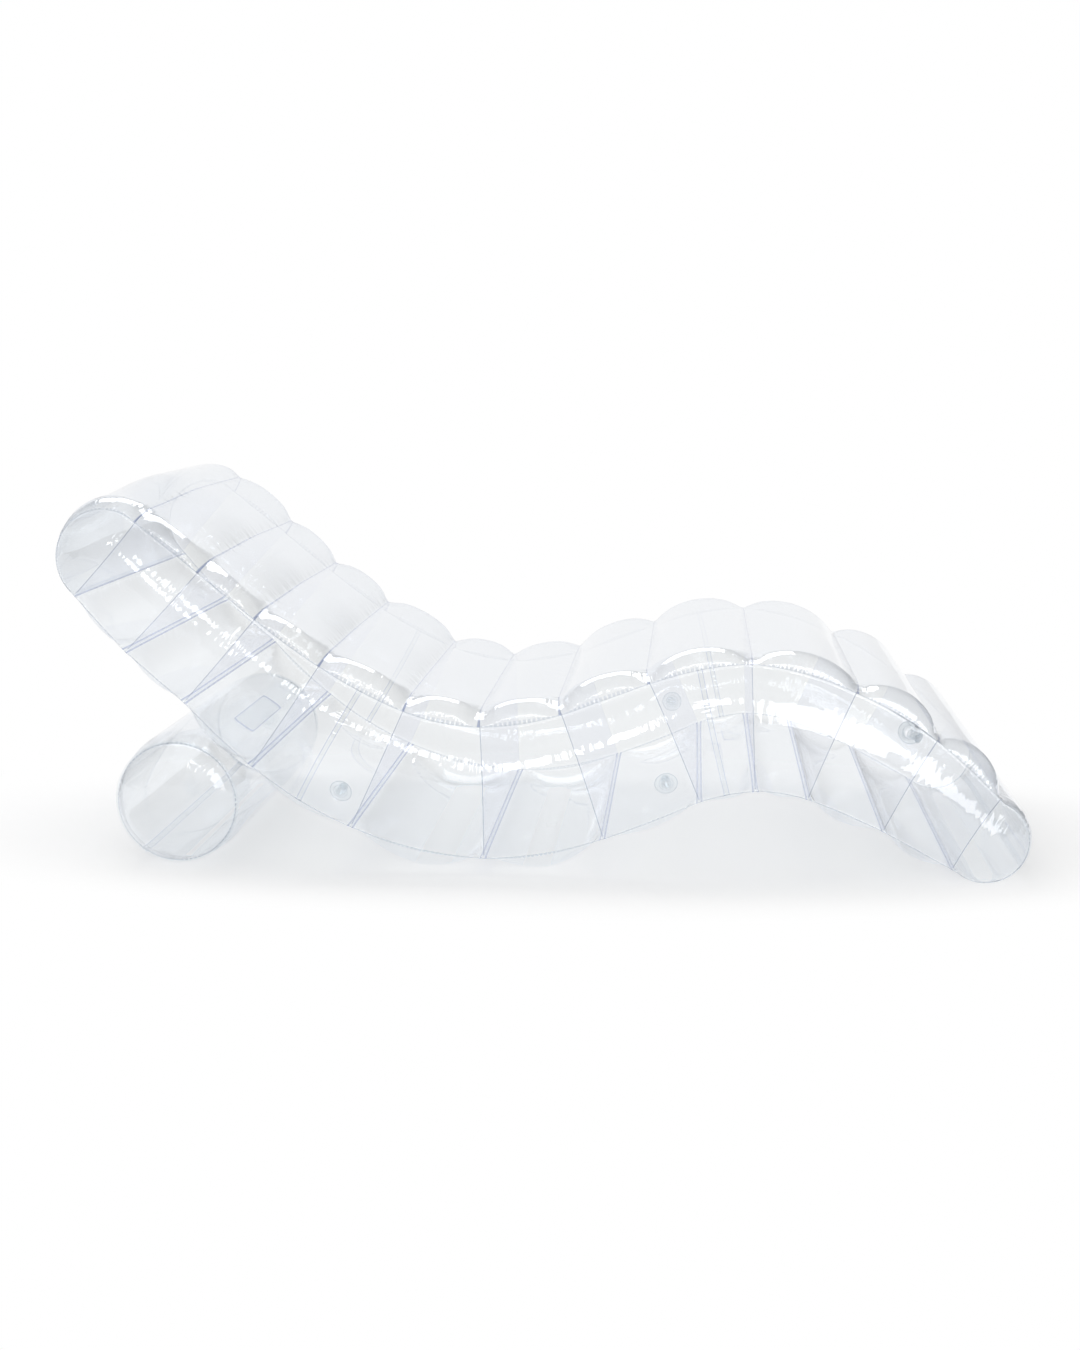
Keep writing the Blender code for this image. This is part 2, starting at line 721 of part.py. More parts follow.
def make_roller_wrap():
    """The sheet round the roller, lapped along its seam, with a lip at each end."""
    rise = ROLLER_RADIUS - RING_RADIUS
    half = [(0.0, RING_RADIUS + LIP), (0.0, RING_RADIUS)]
    for angle in SHOULDER_ANGLES:
        half.append((ROLLER_SHOULDER * angle / 90, RING_RADIUS + rise * math.sin(math.radians(angle))))
    stations = [(-1, inset, radius) for inset, radius in half]
    stations += [(1, inset, radius) for inset, radius in half[::-1]]
    angles = roller_angles()
    grid = np.zeros((len(angles), len(stations), 3))
    for i, (angle, outer) in enumerate(angles):
        turn = math.radians(angle)
        for j, (end, inset, free_radius) in enumerate(stations):
            radius = wrap_radius(free_radius, angle) + outer * LAYER
            grid[i, j, 0] = ROLLER_CENTRE[0] + radius * math.cos(turn)
            grid[i, j, 1] = end * (ROLLER_LENGTH / 2 - FILM - outer * LAYER - inset)
            grid[i, j, 2] = ROLLER_CENTRE[1] + radius * math.sin(turn)
    film(grid_object("roller_wrap", grid, True), -1)


def roller_end_frame(side):
    """The frame of one end of the roller: its origin on the wrap's lip, local Z pointing out."""
    origin = (ROLLER_CENTRE[0], side * ROLLER_LENGTH / 2, ROLLER_CENTRE[1])
    return frame_at(origin, (-side, 0, 0), (0, 0, 1), (0, side, 0))


def make_roller_disc(name, side, bore_radius):
    """A domed disc on one end of the roller, flat in the middle, with a hole there for a valve if asked."""
    last = math.acos(DISC_FLAT_RADIUS / RING_RADIUS)
    profile = [(RING_RADIUS + LIP, CLEARANCE), (RING_RADIUS, CLEARANCE)]
    for ring in range(1, DISC_RINGS + 1):
        turn = last * ring / DISC_RINGS
        height = DISC_DOME * math.sin(turn) / math.sin(last)
        profile.append((RING_RADIUS * math.cos(turn), CLEARANCE + height))
    profile.append((bore_radius, CLEARANCE + DISC_DOME))
    obj = turned(name, profile[::-1], False, DISC_STEPS)
    obj.matrix_world = roller_end_frame(side)
    film(obj, 1)


def rounded_rectangle(length, width, corner, steps):
    """The outline of a rectangle with round corners, centred on its origin."""
    outline = []
    for quarter, (sx, sy) in enumerate(((1, 1), (-1, 1), (-1, -1), (1, -1))):
        for step in range(steps + 1):
            turn = math.radians(90 * (quarter + step / steps))
            x = sx * (length / 2 - corner) + corner * math.cos(turn)
            y = sy * (width / 2 - corner) + corner * math.sin(turn)
            outline.append((x, y))
    return outline


def make_roller_patch():
    """The weld patch between the roller and the back."""
    middle = SEAT_POINT + SEAT_NORMAL * SEAT_STACK / 2
    x_axis = Vector((0, 1, 0))
    z_axis = Vector((SEAT_NORMAL[0], 0, SEAT_NORMAL[1]))
    y_axis = z_axis.cross(x_axis)
    frame = frame_at((middle[0], 0, middle[1]), x_axis, y_axis, z_axis)
    outline = rounded_rectangle(PATCH_LENGTH, PATCH_WIDTH, PATCH_CORNER, PATCH_CORNER_STEPS)
    paint(prism("roller_patch", outline, frame, FILM), FILM_COLOUR, FILM_ROUGHNESS)


# The valves

FLANGE_TOP = CLEARANCE + VALVE_FLANGE_THICKNESS
STEM_RADIUS = VALVE_BORE_RADIUS - CLEARANCE
STEM_TOP = FLANGE_TOP + CLEARANCE + STEM_HEAD_THICKNESS
PLUG_TOP = STEM_TOP + CLEARANCE + PLUG_HEAD_THICKNESS
FLAP_RADIUS = STEM_RADIUS - FLAP_THICKNESS
FLAP_TOP = -STEM_DEPTH - CLEARANCE


def flap_disc(name):
    """The flap, a disc whose origin is on its hinge, at the top of its upper face."""
    mesh = bpy.data.meshes.new(name)
    work = bmesh.new()
    bmesh.ops.create_cone(
        work,
        cap_ends=True,
        segments=VALVE_STEPS,
        radius1=FLAP_RADIUS,
        radius2=FLAP_RADIUS,
        depth=FLAP_THICKNESS,
        matrix=Matrix.Translation((0, -FLAP_RADIUS, -FLAP_THICKNESS / 2)),
    )
    work.to_mesh(mesh)
    work.free()
    obj = bpy.data.objects.new(name, mesh)
    PARTS.objects.link(obj)
    return obj


def make_valve(name, frame):
    """A flanged collar in the wall, its stem pushed home, the stem's plug and the flap under the stem."""
    collar = turned(
        name + "_base",
        [
            (VALVE_BORE_RADIUS, FLANGE_TOP),
            (VALVE_FLANGE_RADIUS - VALVE_FLANGE_BEVEL, FLANGE_TOP),
            (VALVE_FLANGE_RADIUS, FLANGE_TOP - VALVE_FLANGE_BEVEL),
            (VALVE_FLANGE_RADIUS, CLEARANCE),
            (VALVE_COLLAR_RADIUS, CLEARANCE),
            (VALVE_COLLAR_RADIUS, -VALVE_COLLAR_DEPTH),
            (VALVE_BORE_RADIUS, -VALVE_COLLAR_DEPTH),
        ],
        True,
        VALVE_STEPS,
    )
    stem = turned(
        name + "_stem",
        [
            (STEM_BORE_RADIUS, STEM_TOP),
            (STEM_HEAD_RADIUS, STEM_TOP),
            (STEM_HEAD_RADIUS, STEM_TOP - STEM_HEAD_THICKNESS),
            (STEM_RADIUS, STEM_TOP - STEM_HEAD_THICKNESS),
            (STEM_RADIUS, -STEM_DEPTH),
            (STEM_BORE_RADIUS, -STEM_DEPTH),
        ],
        True,
        VALVE_STEPS,
    )
    plug = turned(
        name + "_plug",
        [
            (0, PLUG_TOP),
            (PLUG_HEAD_RADIUS, PLUG_TOP),
            (PLUG_HEAD_RADIUS, PLUG_TOP - PLUG_HEAD_THICKNESS),
            (STEM_BORE_RADIUS - CLEARANCE, PLUG_TOP - PLUG_HEAD_THICKNESS),
            (STEM_BORE_RADIUS - CLEARANCE, STEM_TOP - PLUG_SHANK_DEPTH),
            (0, STEM_TOP - PLUG_SHANK_DEPTH),
        ],
        False,
        VALVE_STEPS,
    )
    flap = flap_disc(name + "_flap")
    for obj in (collar, stem, plug):
        obj.matrix_world = frame
    flap.matrix_world = frame @ Matrix.Translation((0, FLAP_RADIUS, FLAP_TOP))
    for obj, colour in ((collar, VALVE_COLOUR), (stem, VALVE_COLOUR), (plug, PLUG_COLOUR), (flap, VALVE_COLOUR)):
        paint(obj, colour, VALVE_ROUGHNESS)


def make_valves():
    """Three valves on the side walls and one in the middle of the roller's far disc."""
    for name, frame in wall_valve_frames().items():
        make_valve(name, frame)
    disc_face = Matrix.Translation((0, 0, CLEARANCE + DISC_DOME + FILM))
    make_valve(ROLLER_VALVE, roller_end_frame(1) @ disc_face)


make_sheet("top_sheet", top_lines(), False, TOP_LAP_ROWS)
make_sheet("base_sheet", base_lines(), True)
make_side_panels()
make_baffles()
make_roller_wrap()
make_roller_disc("roller_near_disc", -1, 0)
make_roller_disc("roller_far_disc", 1, VALVE_COLLAR_RADIUS + CLEARANCE)
make_roller_patch()
make_valves()
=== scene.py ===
"""Inflatable pool lounger of clear film, thirteen air cells over a roller, on a pale studio floor."""
import json
import math

import bmesh
import bpy
import numpy as np
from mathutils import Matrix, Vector


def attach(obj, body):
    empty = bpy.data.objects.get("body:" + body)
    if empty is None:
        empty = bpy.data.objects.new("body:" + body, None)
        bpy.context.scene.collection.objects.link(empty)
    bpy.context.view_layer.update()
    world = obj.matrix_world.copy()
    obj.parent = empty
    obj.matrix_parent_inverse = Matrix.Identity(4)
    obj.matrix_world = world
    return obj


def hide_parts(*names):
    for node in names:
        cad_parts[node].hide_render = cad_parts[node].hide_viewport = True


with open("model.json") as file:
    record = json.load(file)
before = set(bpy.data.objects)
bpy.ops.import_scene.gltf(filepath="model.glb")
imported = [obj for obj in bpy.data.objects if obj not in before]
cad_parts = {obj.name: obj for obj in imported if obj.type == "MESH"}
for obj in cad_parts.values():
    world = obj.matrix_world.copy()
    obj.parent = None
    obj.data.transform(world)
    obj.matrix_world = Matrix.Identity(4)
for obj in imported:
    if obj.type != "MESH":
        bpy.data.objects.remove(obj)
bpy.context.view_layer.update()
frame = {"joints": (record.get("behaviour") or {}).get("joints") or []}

# The base sheet: one clear vinyl film from under the head along the floor side to the foot's tip.
# It is cut from the roll, welded to the webs along twelve cross welds, and pressed flat by the
# lounger's weight where its two lowest cells and the foot stand on the floor.

LENGTH = 1.85
HEIGHT = 0.74
WELD_WIDTH = 0.75
LIP = 0.006
CAD_STRIP = 0.012
TOP_SEAM_SHARES = (
    (-0.414, 0.907), (-0.350, 0.778), (-0.292, 0.659), (-0.226, 0.539), (-0.139, 0.425), (-0.061, 0.387),
    (0.023, 0.421), (0.113, 0.505), (0.217, 0.560), (0.323, 0.489), (0.405, 0.368), (0.470, 0.219),
)
BASE_SEAM_SHARES = (
    (-0.481, 0.718), (-0.429, 0.572), (-0.369, 0.440), (-0.300, 0.275), (-0.196, 0.116), (-0.057, 0.039),
    (0.067, 0.097), (0.166, 0.200), (0.223, 0.231), (0.277, 0.212), (0.354, 0.131), (0.425, 0.035),
)
TOP_RISE_SHARES = (0.066, 0.062, 0.051, 0.048, 0.038, 0.036, 0.032, 0.025, 0.013, 0.015, 0.010, 0.006)
HEAD_WELD_SHARE = 0.46
HEAD_SWELL_SHARE = 0.47
FOOT_WELD_SHARE = 0.58
FOOT_SWELL_SHARE = 0.642
FOOT_JOINT_SHARE = 0.51
BASE_SWELL_SHARES = (0.17, 0.18, 0.22, 0.16, 0.232, 0.234, 0.15, 0.17, 0.17, 0.20, 0.20)
BASE_STRIP = 0.010
CELL_ROWS = 24
END_ROWS = 56
SHOULDER_STEPS = 32
FLAT_STEPS = 14
BASE_SHOULDER = 0.080
TOP_SHOULDER = 0.036
PINCH_SPREAD = 0.036
PINCH_REACH = 0.024
ROUND_POWER = 0.5
PINCH_POWER = 0.25
MERGE_WITHIN = 0.000002
MIDDLE_X = 0.0032019


def unit(vector):
    """The vector at length 1."""
    return vector / np.linalg.norm(vector)


def left_of(direction):
    """The direction a quarter turn to the left."""
    return np.array([-direction[1], direction[0]])


def swollen(start, end, swell_share, shares, side):
    """Points at these shares of the circular arc whose height over its chord is a share of the chord."""
    chord = np.linalg.norm(end - start)
    along = (end - start) / chord
    out = left_of(along) * side
    swell = swell_share * chord
    radius = (chord**2 / 4 + swell**2) / (2 * swell)
    angles = (2 * np.asarray(shares)[:, None] - 1) * 2 * math.atan(2 * swell / chord)
    return (start + end) / 2 + out * (swell - radius) + radius * (out * np.cos(angles) + along * np.sin(angles))


def seams(shares):
    """The cross welds' places in the side view, and the sheet's direction at each from its neighbours."""
    points = np.array(shares) * (LENGTH, HEIGHT)
    ahead = np.vstack([points[1:], points[-1:]])
    behind = np.vstack([points[:1], points[:-1]])
    tangents = np.array([unit(a - b) for a, b in zip(ahead, behind)])
    return points, tangents


TOP_SEAMS, TOP_TANGENTS = seams(TOP_SEAM_SHARES)
BASE_SEAMS, BASE_TANGENTS = seams(BASE_SEAM_SHARES)
TOP_RISES = np.array(TOP_RISE_SHARES)[:, None] * WELD_WIDTH
TOP_CROWNS = TOP_SEAMS + np.stack([-TOP_TANGENTS[:, 1], TOP_TANGENTS[:, 0]], axis=1) * TOP_RISES
CELLS = len(BASE_SWELL_SHARES)


def head_arc(tops, swell_share, shares):
    """The arc round the head from the first base weld to the first of these top points."""
    start = BASE_SEAMS[0] - BASE_TANGENTS[0] * CAD_STRIP / 2
    return swollen(start, tops[0] - TOP_TANGENTS[0] * CAD_STRIP / 2, swell_share, shares, 1)


def foot_arc(tops, swell_share, shares):
    """The arc round the foot from the last of these top points to the last base weld."""
    end = BASE_SEAMS[-1] + BASE_TANGENTS[-1] * CAD_STRIP / 2
    return swollen(tops[-1] + TOP_TANGENTS[-1] * CAD_STRIP / 2, end, swell_share, shares, 1)


def cell_weld(points, tangents, cell, shares):
    """The side weld along one cell: a quadratic curve through its ends, bowed by how far the sheet turns."""
    start = points[cell] + tangents[cell] * CAD_STRIP / 2
    end = points[cell + 1] - tangents[cell + 1] * CAD_STRIP / 2
    pull = (start + end) / 2 + (tangents[cell] - tangents[cell + 1]) * np.linalg.norm(end - start) / 4
    share = shares[:, None]
    return (1 - share) ** 2 * start + 2 * share * (1 - share) * pull + share**2 * end


def cell_rows(points, crowns, tangents, swells, strip, side):
    """Side weld and crown from the first cross weld to the last: arcs between flat strips, row for row."""
    shares = np.linspace(0, 1, CELL_ROWS + 1)
    welds, tops = [], []
    for cell in range(CELLS):
        first = crowns[cell] + tangents[cell] * strip / 2
        last = crowns[cell + 1] - tangents[cell + 1] * strip / 2
        welds += [points[cell : cell + 1], cell_weld(points, tangents, cell, shares)]
        tops += [crowns[cell : cell + 1], swollen(first, last, swells[cell], shares, side)]
    return welds + [points[-1:]], tops + [crowns[-1:]]


def half_insets():
    """Distances in from the side weld to the middle: the lip, close steps over the shoulder, then wide ones."""
    turn = np.linspace(0, math.pi / 2, SHOULDER_STEPS + 1)
    shoulder = BASE_SHOULDER * (1 - np.cos(turn))
    flat = np.linspace(BASE_SHOULDER, WELD_WIDTH / 2, FLAT_STEPS + 1)[1:]
    return np.concatenate([[-LIP, -LIP / 2], shoulder, flat])


def rise_at(insets, shoulder, pinch):
    """Share of the crown's height reached at an inset: a quarter ellipse in a cell, and a slower curve at a weld."""
    part = np.clip(insets / (shoulder + PINCH_SPREAD * pinch), 0, 1)
    return (1 - (1 - part) ** 2) ** (ROUND_POWER + PINCH_POWER * pinch)


def eased(share):
    """A share from 0 to 1 with a soft start and end: three of its square less two of its cube."""
    share = np.clip(share, 0, 1)
    return share * share * (3 - 2 * share)


def near_fullness(insets, side, kept, shoulder):
    """Share of the rise kept on the near side: a part of it up to the shoulder, eased back to all in the middle."""
    share = eased((insets - shoulder) / (WELD_WIDTH / 2 - shoulder))
    return np.where(side < 0, kept + (1 - kept) * share, 1)


def film_mesh(name, patches, flip=False):
    """One mesh from grids of points, each with metres along and across as its UV map and masks by name."""
    corners, quads, maps, masks = [], [], [], {}
    first = 0
    for points, along, across, layers in patches:
        rows, columns = points.shape[:2]
        start = first + (np.arange(rows - 1)[:, None] * columns + np.arange(columns - 1)).ravel()
        quad = np.stack([start, start + columns, start + columns + 1, start + 1], axis=1)
        quads.append(quad[:, ::-1] if flip else quad)
        corners.append(points.reshape(-1, 3))
        maps.append(np.stack([along.ravel(), across.ravel()], axis=1))
        for mask, values in layers.items():
            masks.setdefault(mask, []).append(np.broadcast_to(values, (rows, columns)).ravel())
        first += rows * columns
    mesh = bpy.data.meshes.new(name)
    faces = np.vstack(quads)
    mesh.from_pydata(np.vstack(corners).tolist(), [], faces.tolist())
    uv = mesh.uv_layers.new(name="film")
    uv.data.foreach_set("uv", np.vstack(maps)[faces.ravel()].ravel())
    for mask, values in masks.items():
        layer = mesh.attributes.new(mask, "FLOAT", "POINT")
        layer.data.foreach_set("value", np.concatenate(values))
    mesh.shade_smooth()
    piece = bpy.data.objects.new(name, mesh)
    bpy.context.scene.collection.objects.link(piece)
    return piece


def closed(piece):
    """Merges the doubled points along a turned piece's seam and at its poles, and turns its faces outward."""
    shell = bmesh.new()
    shell.from_mesh(piece.data)
    bmesh.ops.remove_doubles(shell, verts=shell.verts, dist=MERGE_WITHIN)
    bmesh.ops.recalc_face_normals(shell, faces=shell.faces)
    shell.to_mesh(piece.data)
    shell.free()
    return piece


def lengths(line):
    """Length along a line of points, from its start."""
    return np.concatenate([[0], np.cumsum(np.linalg.norm(np.diff(line, axis=0), axis=1))])


def sheet_patch(welds, crowns, shoulders, seam_points, kept=1.0):
    """A sheet from its near lip to its far lip: at each inset, the weld line raised towards the crown line."""
    weld = np.vstack(welds)
    crown = np.vstack(crowns)
    half = half_insets()
    insets = np.concatenate([half, half[-2::-1]])
    side = np.concatenate([-np.ones(len(half)), np.ones(len(half) - 1)])
    along = lengths(crown)
    marks = np.array([along[np.linalg.norm(crown - seam, axis=1).argmin()] for seam in seam_points])
    to_seam = np.abs(along[:, None] - marks).min(axis=1)
    pinch = np.exp(-((to_seam / PINCH_REACH) ** 2))[:, None]
    shoulder = np.concatenate(shoulders)[:, None]
    rise = rise_at(insets[None], shoulder, pinch)
    rise = rise * near_fullness(insets[None], side[None], np.reshape(kept, (-1, 1)), shoulder)
    section = weld[:, None] + (crown - weld)[:, None] * rise[..., None]
    points = np.zeros((len(weld), len(insets), 3))
    points[..., 0] = section[..., 0] - MIDDLE_X
    points[..., 1] = side * (WELD_WIDTH / 2 - insets)
    points[..., 2] = np.maximum(section[..., 1], 0)
    length, width = np.broadcast_arrays(along[:, None], insets[None])
    return points, length, np.broadcast_to(side * (WELD_WIDTH / 2 - insets), width.shape), {
        "seam": to_seam[:, None], "edge": width, "pull": to_seam[:, None]}


base_welds, base_crowns = cell_rows(BASE_SEAMS, BASE_SEAMS, BASE_TANGENTS, BASE_SWELL_SHARES, BASE_STRIP, -1)
tip = np.linspace(1, FOOT_JOINT_SHARE, END_ROWS)
base_welds.append(foot_arc(TOP_SEAMS, FOOT_WELD_SHARE, tip))
base_crowns.append(foot_arc(TOP_CROWNS, FOOT_SWELL_SHARE, tip))
base_shoulders = [np.full(len(line), BASE_SHOULDER) for line in base_welds]
base_film = film_mesh("base_film", [sheet_patch(base_welds, base_crowns, base_shoulders, BASE_SEAMS)], True)


def value_node(tree, operation, *inputs):
    """A Math node with its inputs set or linked, in order."""
    node = tree.nodes.new("ShaderNodeMath")
    node.operation = operation
    for socket, given in zip(node.inputs, inputs):
        if isinstance(given, (int, float)):
            socket.default_value = given
        else:
            tree.links.new(given, socket)
    return node.outputs[0]


def pucker_group():
    """Fine folds that run square to a weld and die away from it, with faint slack ripples in between."""
    group = bpy.data.node_groups.new("weld_puckers", "ShaderNodeTree")
    for name in ("Seam", "Edge", "Pull"):
        group.interface.new_socket(name, in_out="INPUT", socket_type="NodeSocketFloat")
    group.interface.new_socket("Height", in_out="OUTPUT", socket_type="NodeSocketFloat")
    entry = group.nodes.new("NodeGroupInput")
    exit_node = group.nodes.new("NodeGroupOutput")
    uv = group.nodes.new("ShaderNodeUVMap")
    uv.uv_map = "film"
    total = None
    for fades, scale, weight, detail in (
        ({"Edge": 0.016}, (95, 9, 1), 0.6, 2.0),
        ({"Edge": 0.045}, (38, 5, 1), 1.0, 1.0),
        ({"Edge": 0.060, "Pull": 0.030}, (70, 24, 1), 1.6, 1.0),
        ({"Seam": 0.014}, (7, 60, 1), 1.0, 2.0),
        ({}, (8, 5, 1), 0.28, 0.0),
    ):
        mapping = group.nodes.new("ShaderNodeMapping")
        mapping.inputs["Scale"].default_value = scale
        group.links.new(uv.outputs[0], mapping.inputs["Vector"])
        noise = group.nodes.new("ShaderNodeTexNoise")
        noise.inputs["Scale"].default_value = 1
        noise.inputs["Detail"].default_value = detail
        group.links.new(mapping.outputs[0], noise.inputs["Vector"])
        centred = value_node(group, "MULTIPLY_ADD", noise.outputs["Fac"], weight, -weight / 2)
        for socket, reach in fades.items():
            share = value_node(group, "DIVIDE", entry.outputs[socket], -reach)
            centred = value_node(group, "MULTIPLY", centred, value_node(group, "EXPONENT", share))
        total = centred if total is None else value_node(group, "ADD", total, centred)
    group.links.new(total, exit_node.inputs["Height"])
    return group


PUCKERS = pucker_group()
CLEAR_TINT = (0.966, 0.976, 0.981, 1)
RIM_TINT = (0.66, 0.71, 0.78, 1)
STROKE_TINT = (0.66, 0.71, 0.88, 1)
SIDE_WELD_TINT = (0.84, 0.86, 0.90, 1)
HEAD_ON_MIRROR = 0.084
MIRROR_POWER = 3.4
FILM_HAZE = 0.012
WELD_HAZE = 0.04
RIM_POWER = 3.0
GLOSS_COLOUR = (0.95, 0.96, 0.98, 1)
GLOSS_ROUGHNESS = 0.05
DASHES_PER_METRE = 105
DASH_GAP = 0.35
WELD_LINE = 0.0024
WELD_LINE_AT = -0.0008
PUCKER_DEPTH = 0.0035


def line_group():
    """Masks of the welds: a stroke at a distance from a seam's middle, and dashes along the side weld."""
    group = bpy.data.node_groups.new("weld_lines", "ShaderNodeTree")
    for name in ("Seam", "Edge", "At", "Half"):
        group.interface.new_socket(name, in_out="INPUT", socket_type="NodeSocketFloat")
    for name in ("Stroke", "Dash"):
        group.interface.new_socket(name, in_out="OUTPUT", socket_type="NodeSocketFloat")
    entry = group.nodes.new("NodeGroupInput")
    exit_node = group.nodes.new("NodeGroupOutput")
    run = group.nodes.new("ShaderNodeUVMap")
    run.uv_map = "film"
    split = group.nodes.new("ShaderNodeSeparateXYZ")
    group.links.new(run.outputs[0], split.inputs[0])
    beat = value_node(group, "FRACT", value_node(group, "MULTIPLY", split.outputs["X"], DASHES_PER_METRE))
    on_lip = value_node(group, "COMPARE", entry.outputs["Edge"], WELD_LINE_AT, WELD_LINE / 2)
    dash = value_node(group, "MULTIPLY", value_node(group, "GREATER_THAN", beat, DASH_GAP), on_lip)
    stroke = value_node(group, "COMPARE", entry.outputs["Seam"], entry.outputs["At"], entry.outputs["Half"])
    group.links.new(stroke, exit_node.inputs["Stroke"])
    group.links.new(dash, exit_node.inputs["Dash"])
    return group


WELD_LINES = line_group()


def mixed_colour(tree, share, first, second, way="MIX"):
    """A Mix Color node's result: from the first colour to the second by a share."""
    node = tree.nodes.new("ShaderNodeMix")
    node.data_type = "RGBA"
    node.blend_type = way
    tree.links.new(share, node.inputs["Factor"])
    for socket, given in ((node.inputs["A"], first), (node.inputs["B"], second)):
        if isinstance(given, tuple):
            socket.default_value = given
        else:
            tree.links.new(given, socket)
    return node.outputs["Result"]


def film_material(name, stroke_at, stroke_half, stroke=STROKE_TINT, haze=FILM_HAZE, mirror_share=1.0,
                  head_on=HEAD_ON_MIRROR, power=MIRROR_POWER, rim=RIM_TINT):
    """Clear film: a mirror by its angle, two faces of vinyl as one power curve, that tints what shows through."""
    material = bpy.data.materials.new(name)
    material.use_nodes = True
    tree = material.node_tree
    tree.nodes.clear()
    pucker = tree.nodes.new("ShaderNodeGroup")
    pucker.node_tree = PUCKERS
    lines = tree.nodes.new("ShaderNodeGroup")
    lines.node_tree = WELD_LINES
    lines.inputs["At"].default_value = stroke_at
    lines.inputs["Half"].default_value = stroke_half
    for mask, groups in (("seam", (pucker, lines)), ("edge", (pucker, lines)), ("pull", (pucker,))):
        attribute = tree.nodes.new("ShaderNodeAttribute")
        attribute.attribute_name = mask
        for group in groups:
            tree.links.new(attribute.outputs["Fac"], group.inputs[mask.capitalize()])
    bump = tree.nodes.new("ShaderNodeBump")
    bump.inputs["Strength"].default_value = 1
    bump.inputs["Distance"].default_value = PUCKER_DEPTH
    tree.links.new(pucker.outputs["Height"], bump.inputs["Height"])
    facing = tree.nodes.new("ShaderNodeLayerWeight")
    facing.inputs["Blend"].default_value = 0.5
    tree.links.new(bump.outputs[0], facing.inputs["Normal"])
    curve = value_node(tree, "POWER", facing.outputs["Facing"], power)
    mirror = value_node(tree, "MULTIPLY_ADD", curve, (1 - head_on) * mirror_share, head_on * mirror_share)
    on_stroke, dash = lines.outputs["Stroke"], lines.outputs["Dash"]
    solid = value_node(tree, "MULTIPLY_ADD", value_node(tree, "MAXIMUM", on_stroke, dash), WELD_HAZE, haze)
    opacity = value_node(tree, "MINIMUM", value_node(tree, "ADD", mirror, solid), 1.0)
    metal = value_node(tree, "MINIMUM", value_node(tree, "DIVIDE", mirror, opacity), 1.0)
    thicker = value_node(tree, "POWER", facing.outputs["Facing"], RIM_POWER)
    tint = mixed_colour(tree, thicker, CLEAR_TINT, rim)
    tint = mixed_colour(tree, on_stroke, tint, stroke, "MULTIPLY")
    tint = mixed_colour(tree, dash, tint, SIDE_WELD_TINT, "MULTIPLY")
    through = tree.nodes.new("ShaderNodeBsdfTransparent")
    tree.links.new(tint, through.inputs["Color"])
    gloss = tree.nodes.new("ShaderNodeBsdfPrincipled")
    gloss.inputs["Base Color"].default_value = GLOSS_COLOUR
    gloss.inputs["Roughness"].default_value = GLOSS_ROUGHNESS
    tree.links.new(metal, gloss.inputs["Metallic"])
    tree.links.new(bump.outputs[0], gloss.inputs["Normal"])
    mix = tree.nodes.new("ShaderNodeMixShader")
    tree.links.new(opacity, mix.inputs["Fac"])
    tree.links.new(through.outputs[0], mix.inputs[1])
    tree.links.new(gloss.outputs[0], mix.inputs[2])
    out = tree.nodes.new("ShaderNodeOutputMaterial")
    tree.links.new(mix.outputs[0], out.inputs["Surface"])
    return material


def fit(piece, material, *nodes, body="lounger", slot="clear_film"):
    """Gives a piece its material, puts it on its body, and hides the solids it stands for."""
    piece.data.materials.append(material)
    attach(piece, body)
    if nodes:
        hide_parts(*nodes)


base_material = film_material("base_film", 0.0042, 0.0016, (0.52, 0.57, 0.76, 1), rim=(0.90, 0.915, 0.94, 1))
fit(base_film, base_material, "base_sheet")

# The webs: twelve straight bands of the same film that stand across the body between the two sheets.
# Each has a folded flange at its top and its base, welded to the sheet there. Its two ends stay loose
# a little short of the side walls, so that air passes from cell to cell, and the near one curls over.

WEB_END_GAP = 0.015
WEB_BOW = 0.012
WEB_FLANGE = 0.008
WEB_LAYER = 0.0007
WEB_CURL = 0.0008
WEB_ROWS = 20
PLAIN = {"seam": np.ones(1), "edge": np.ones(1), "pull": np.ones(1)}
NEAR_KEPT = (0.55, 0.60, 0.55, 0.70, 0.90, 1, 1, 1, 1, 1, 1, 1)


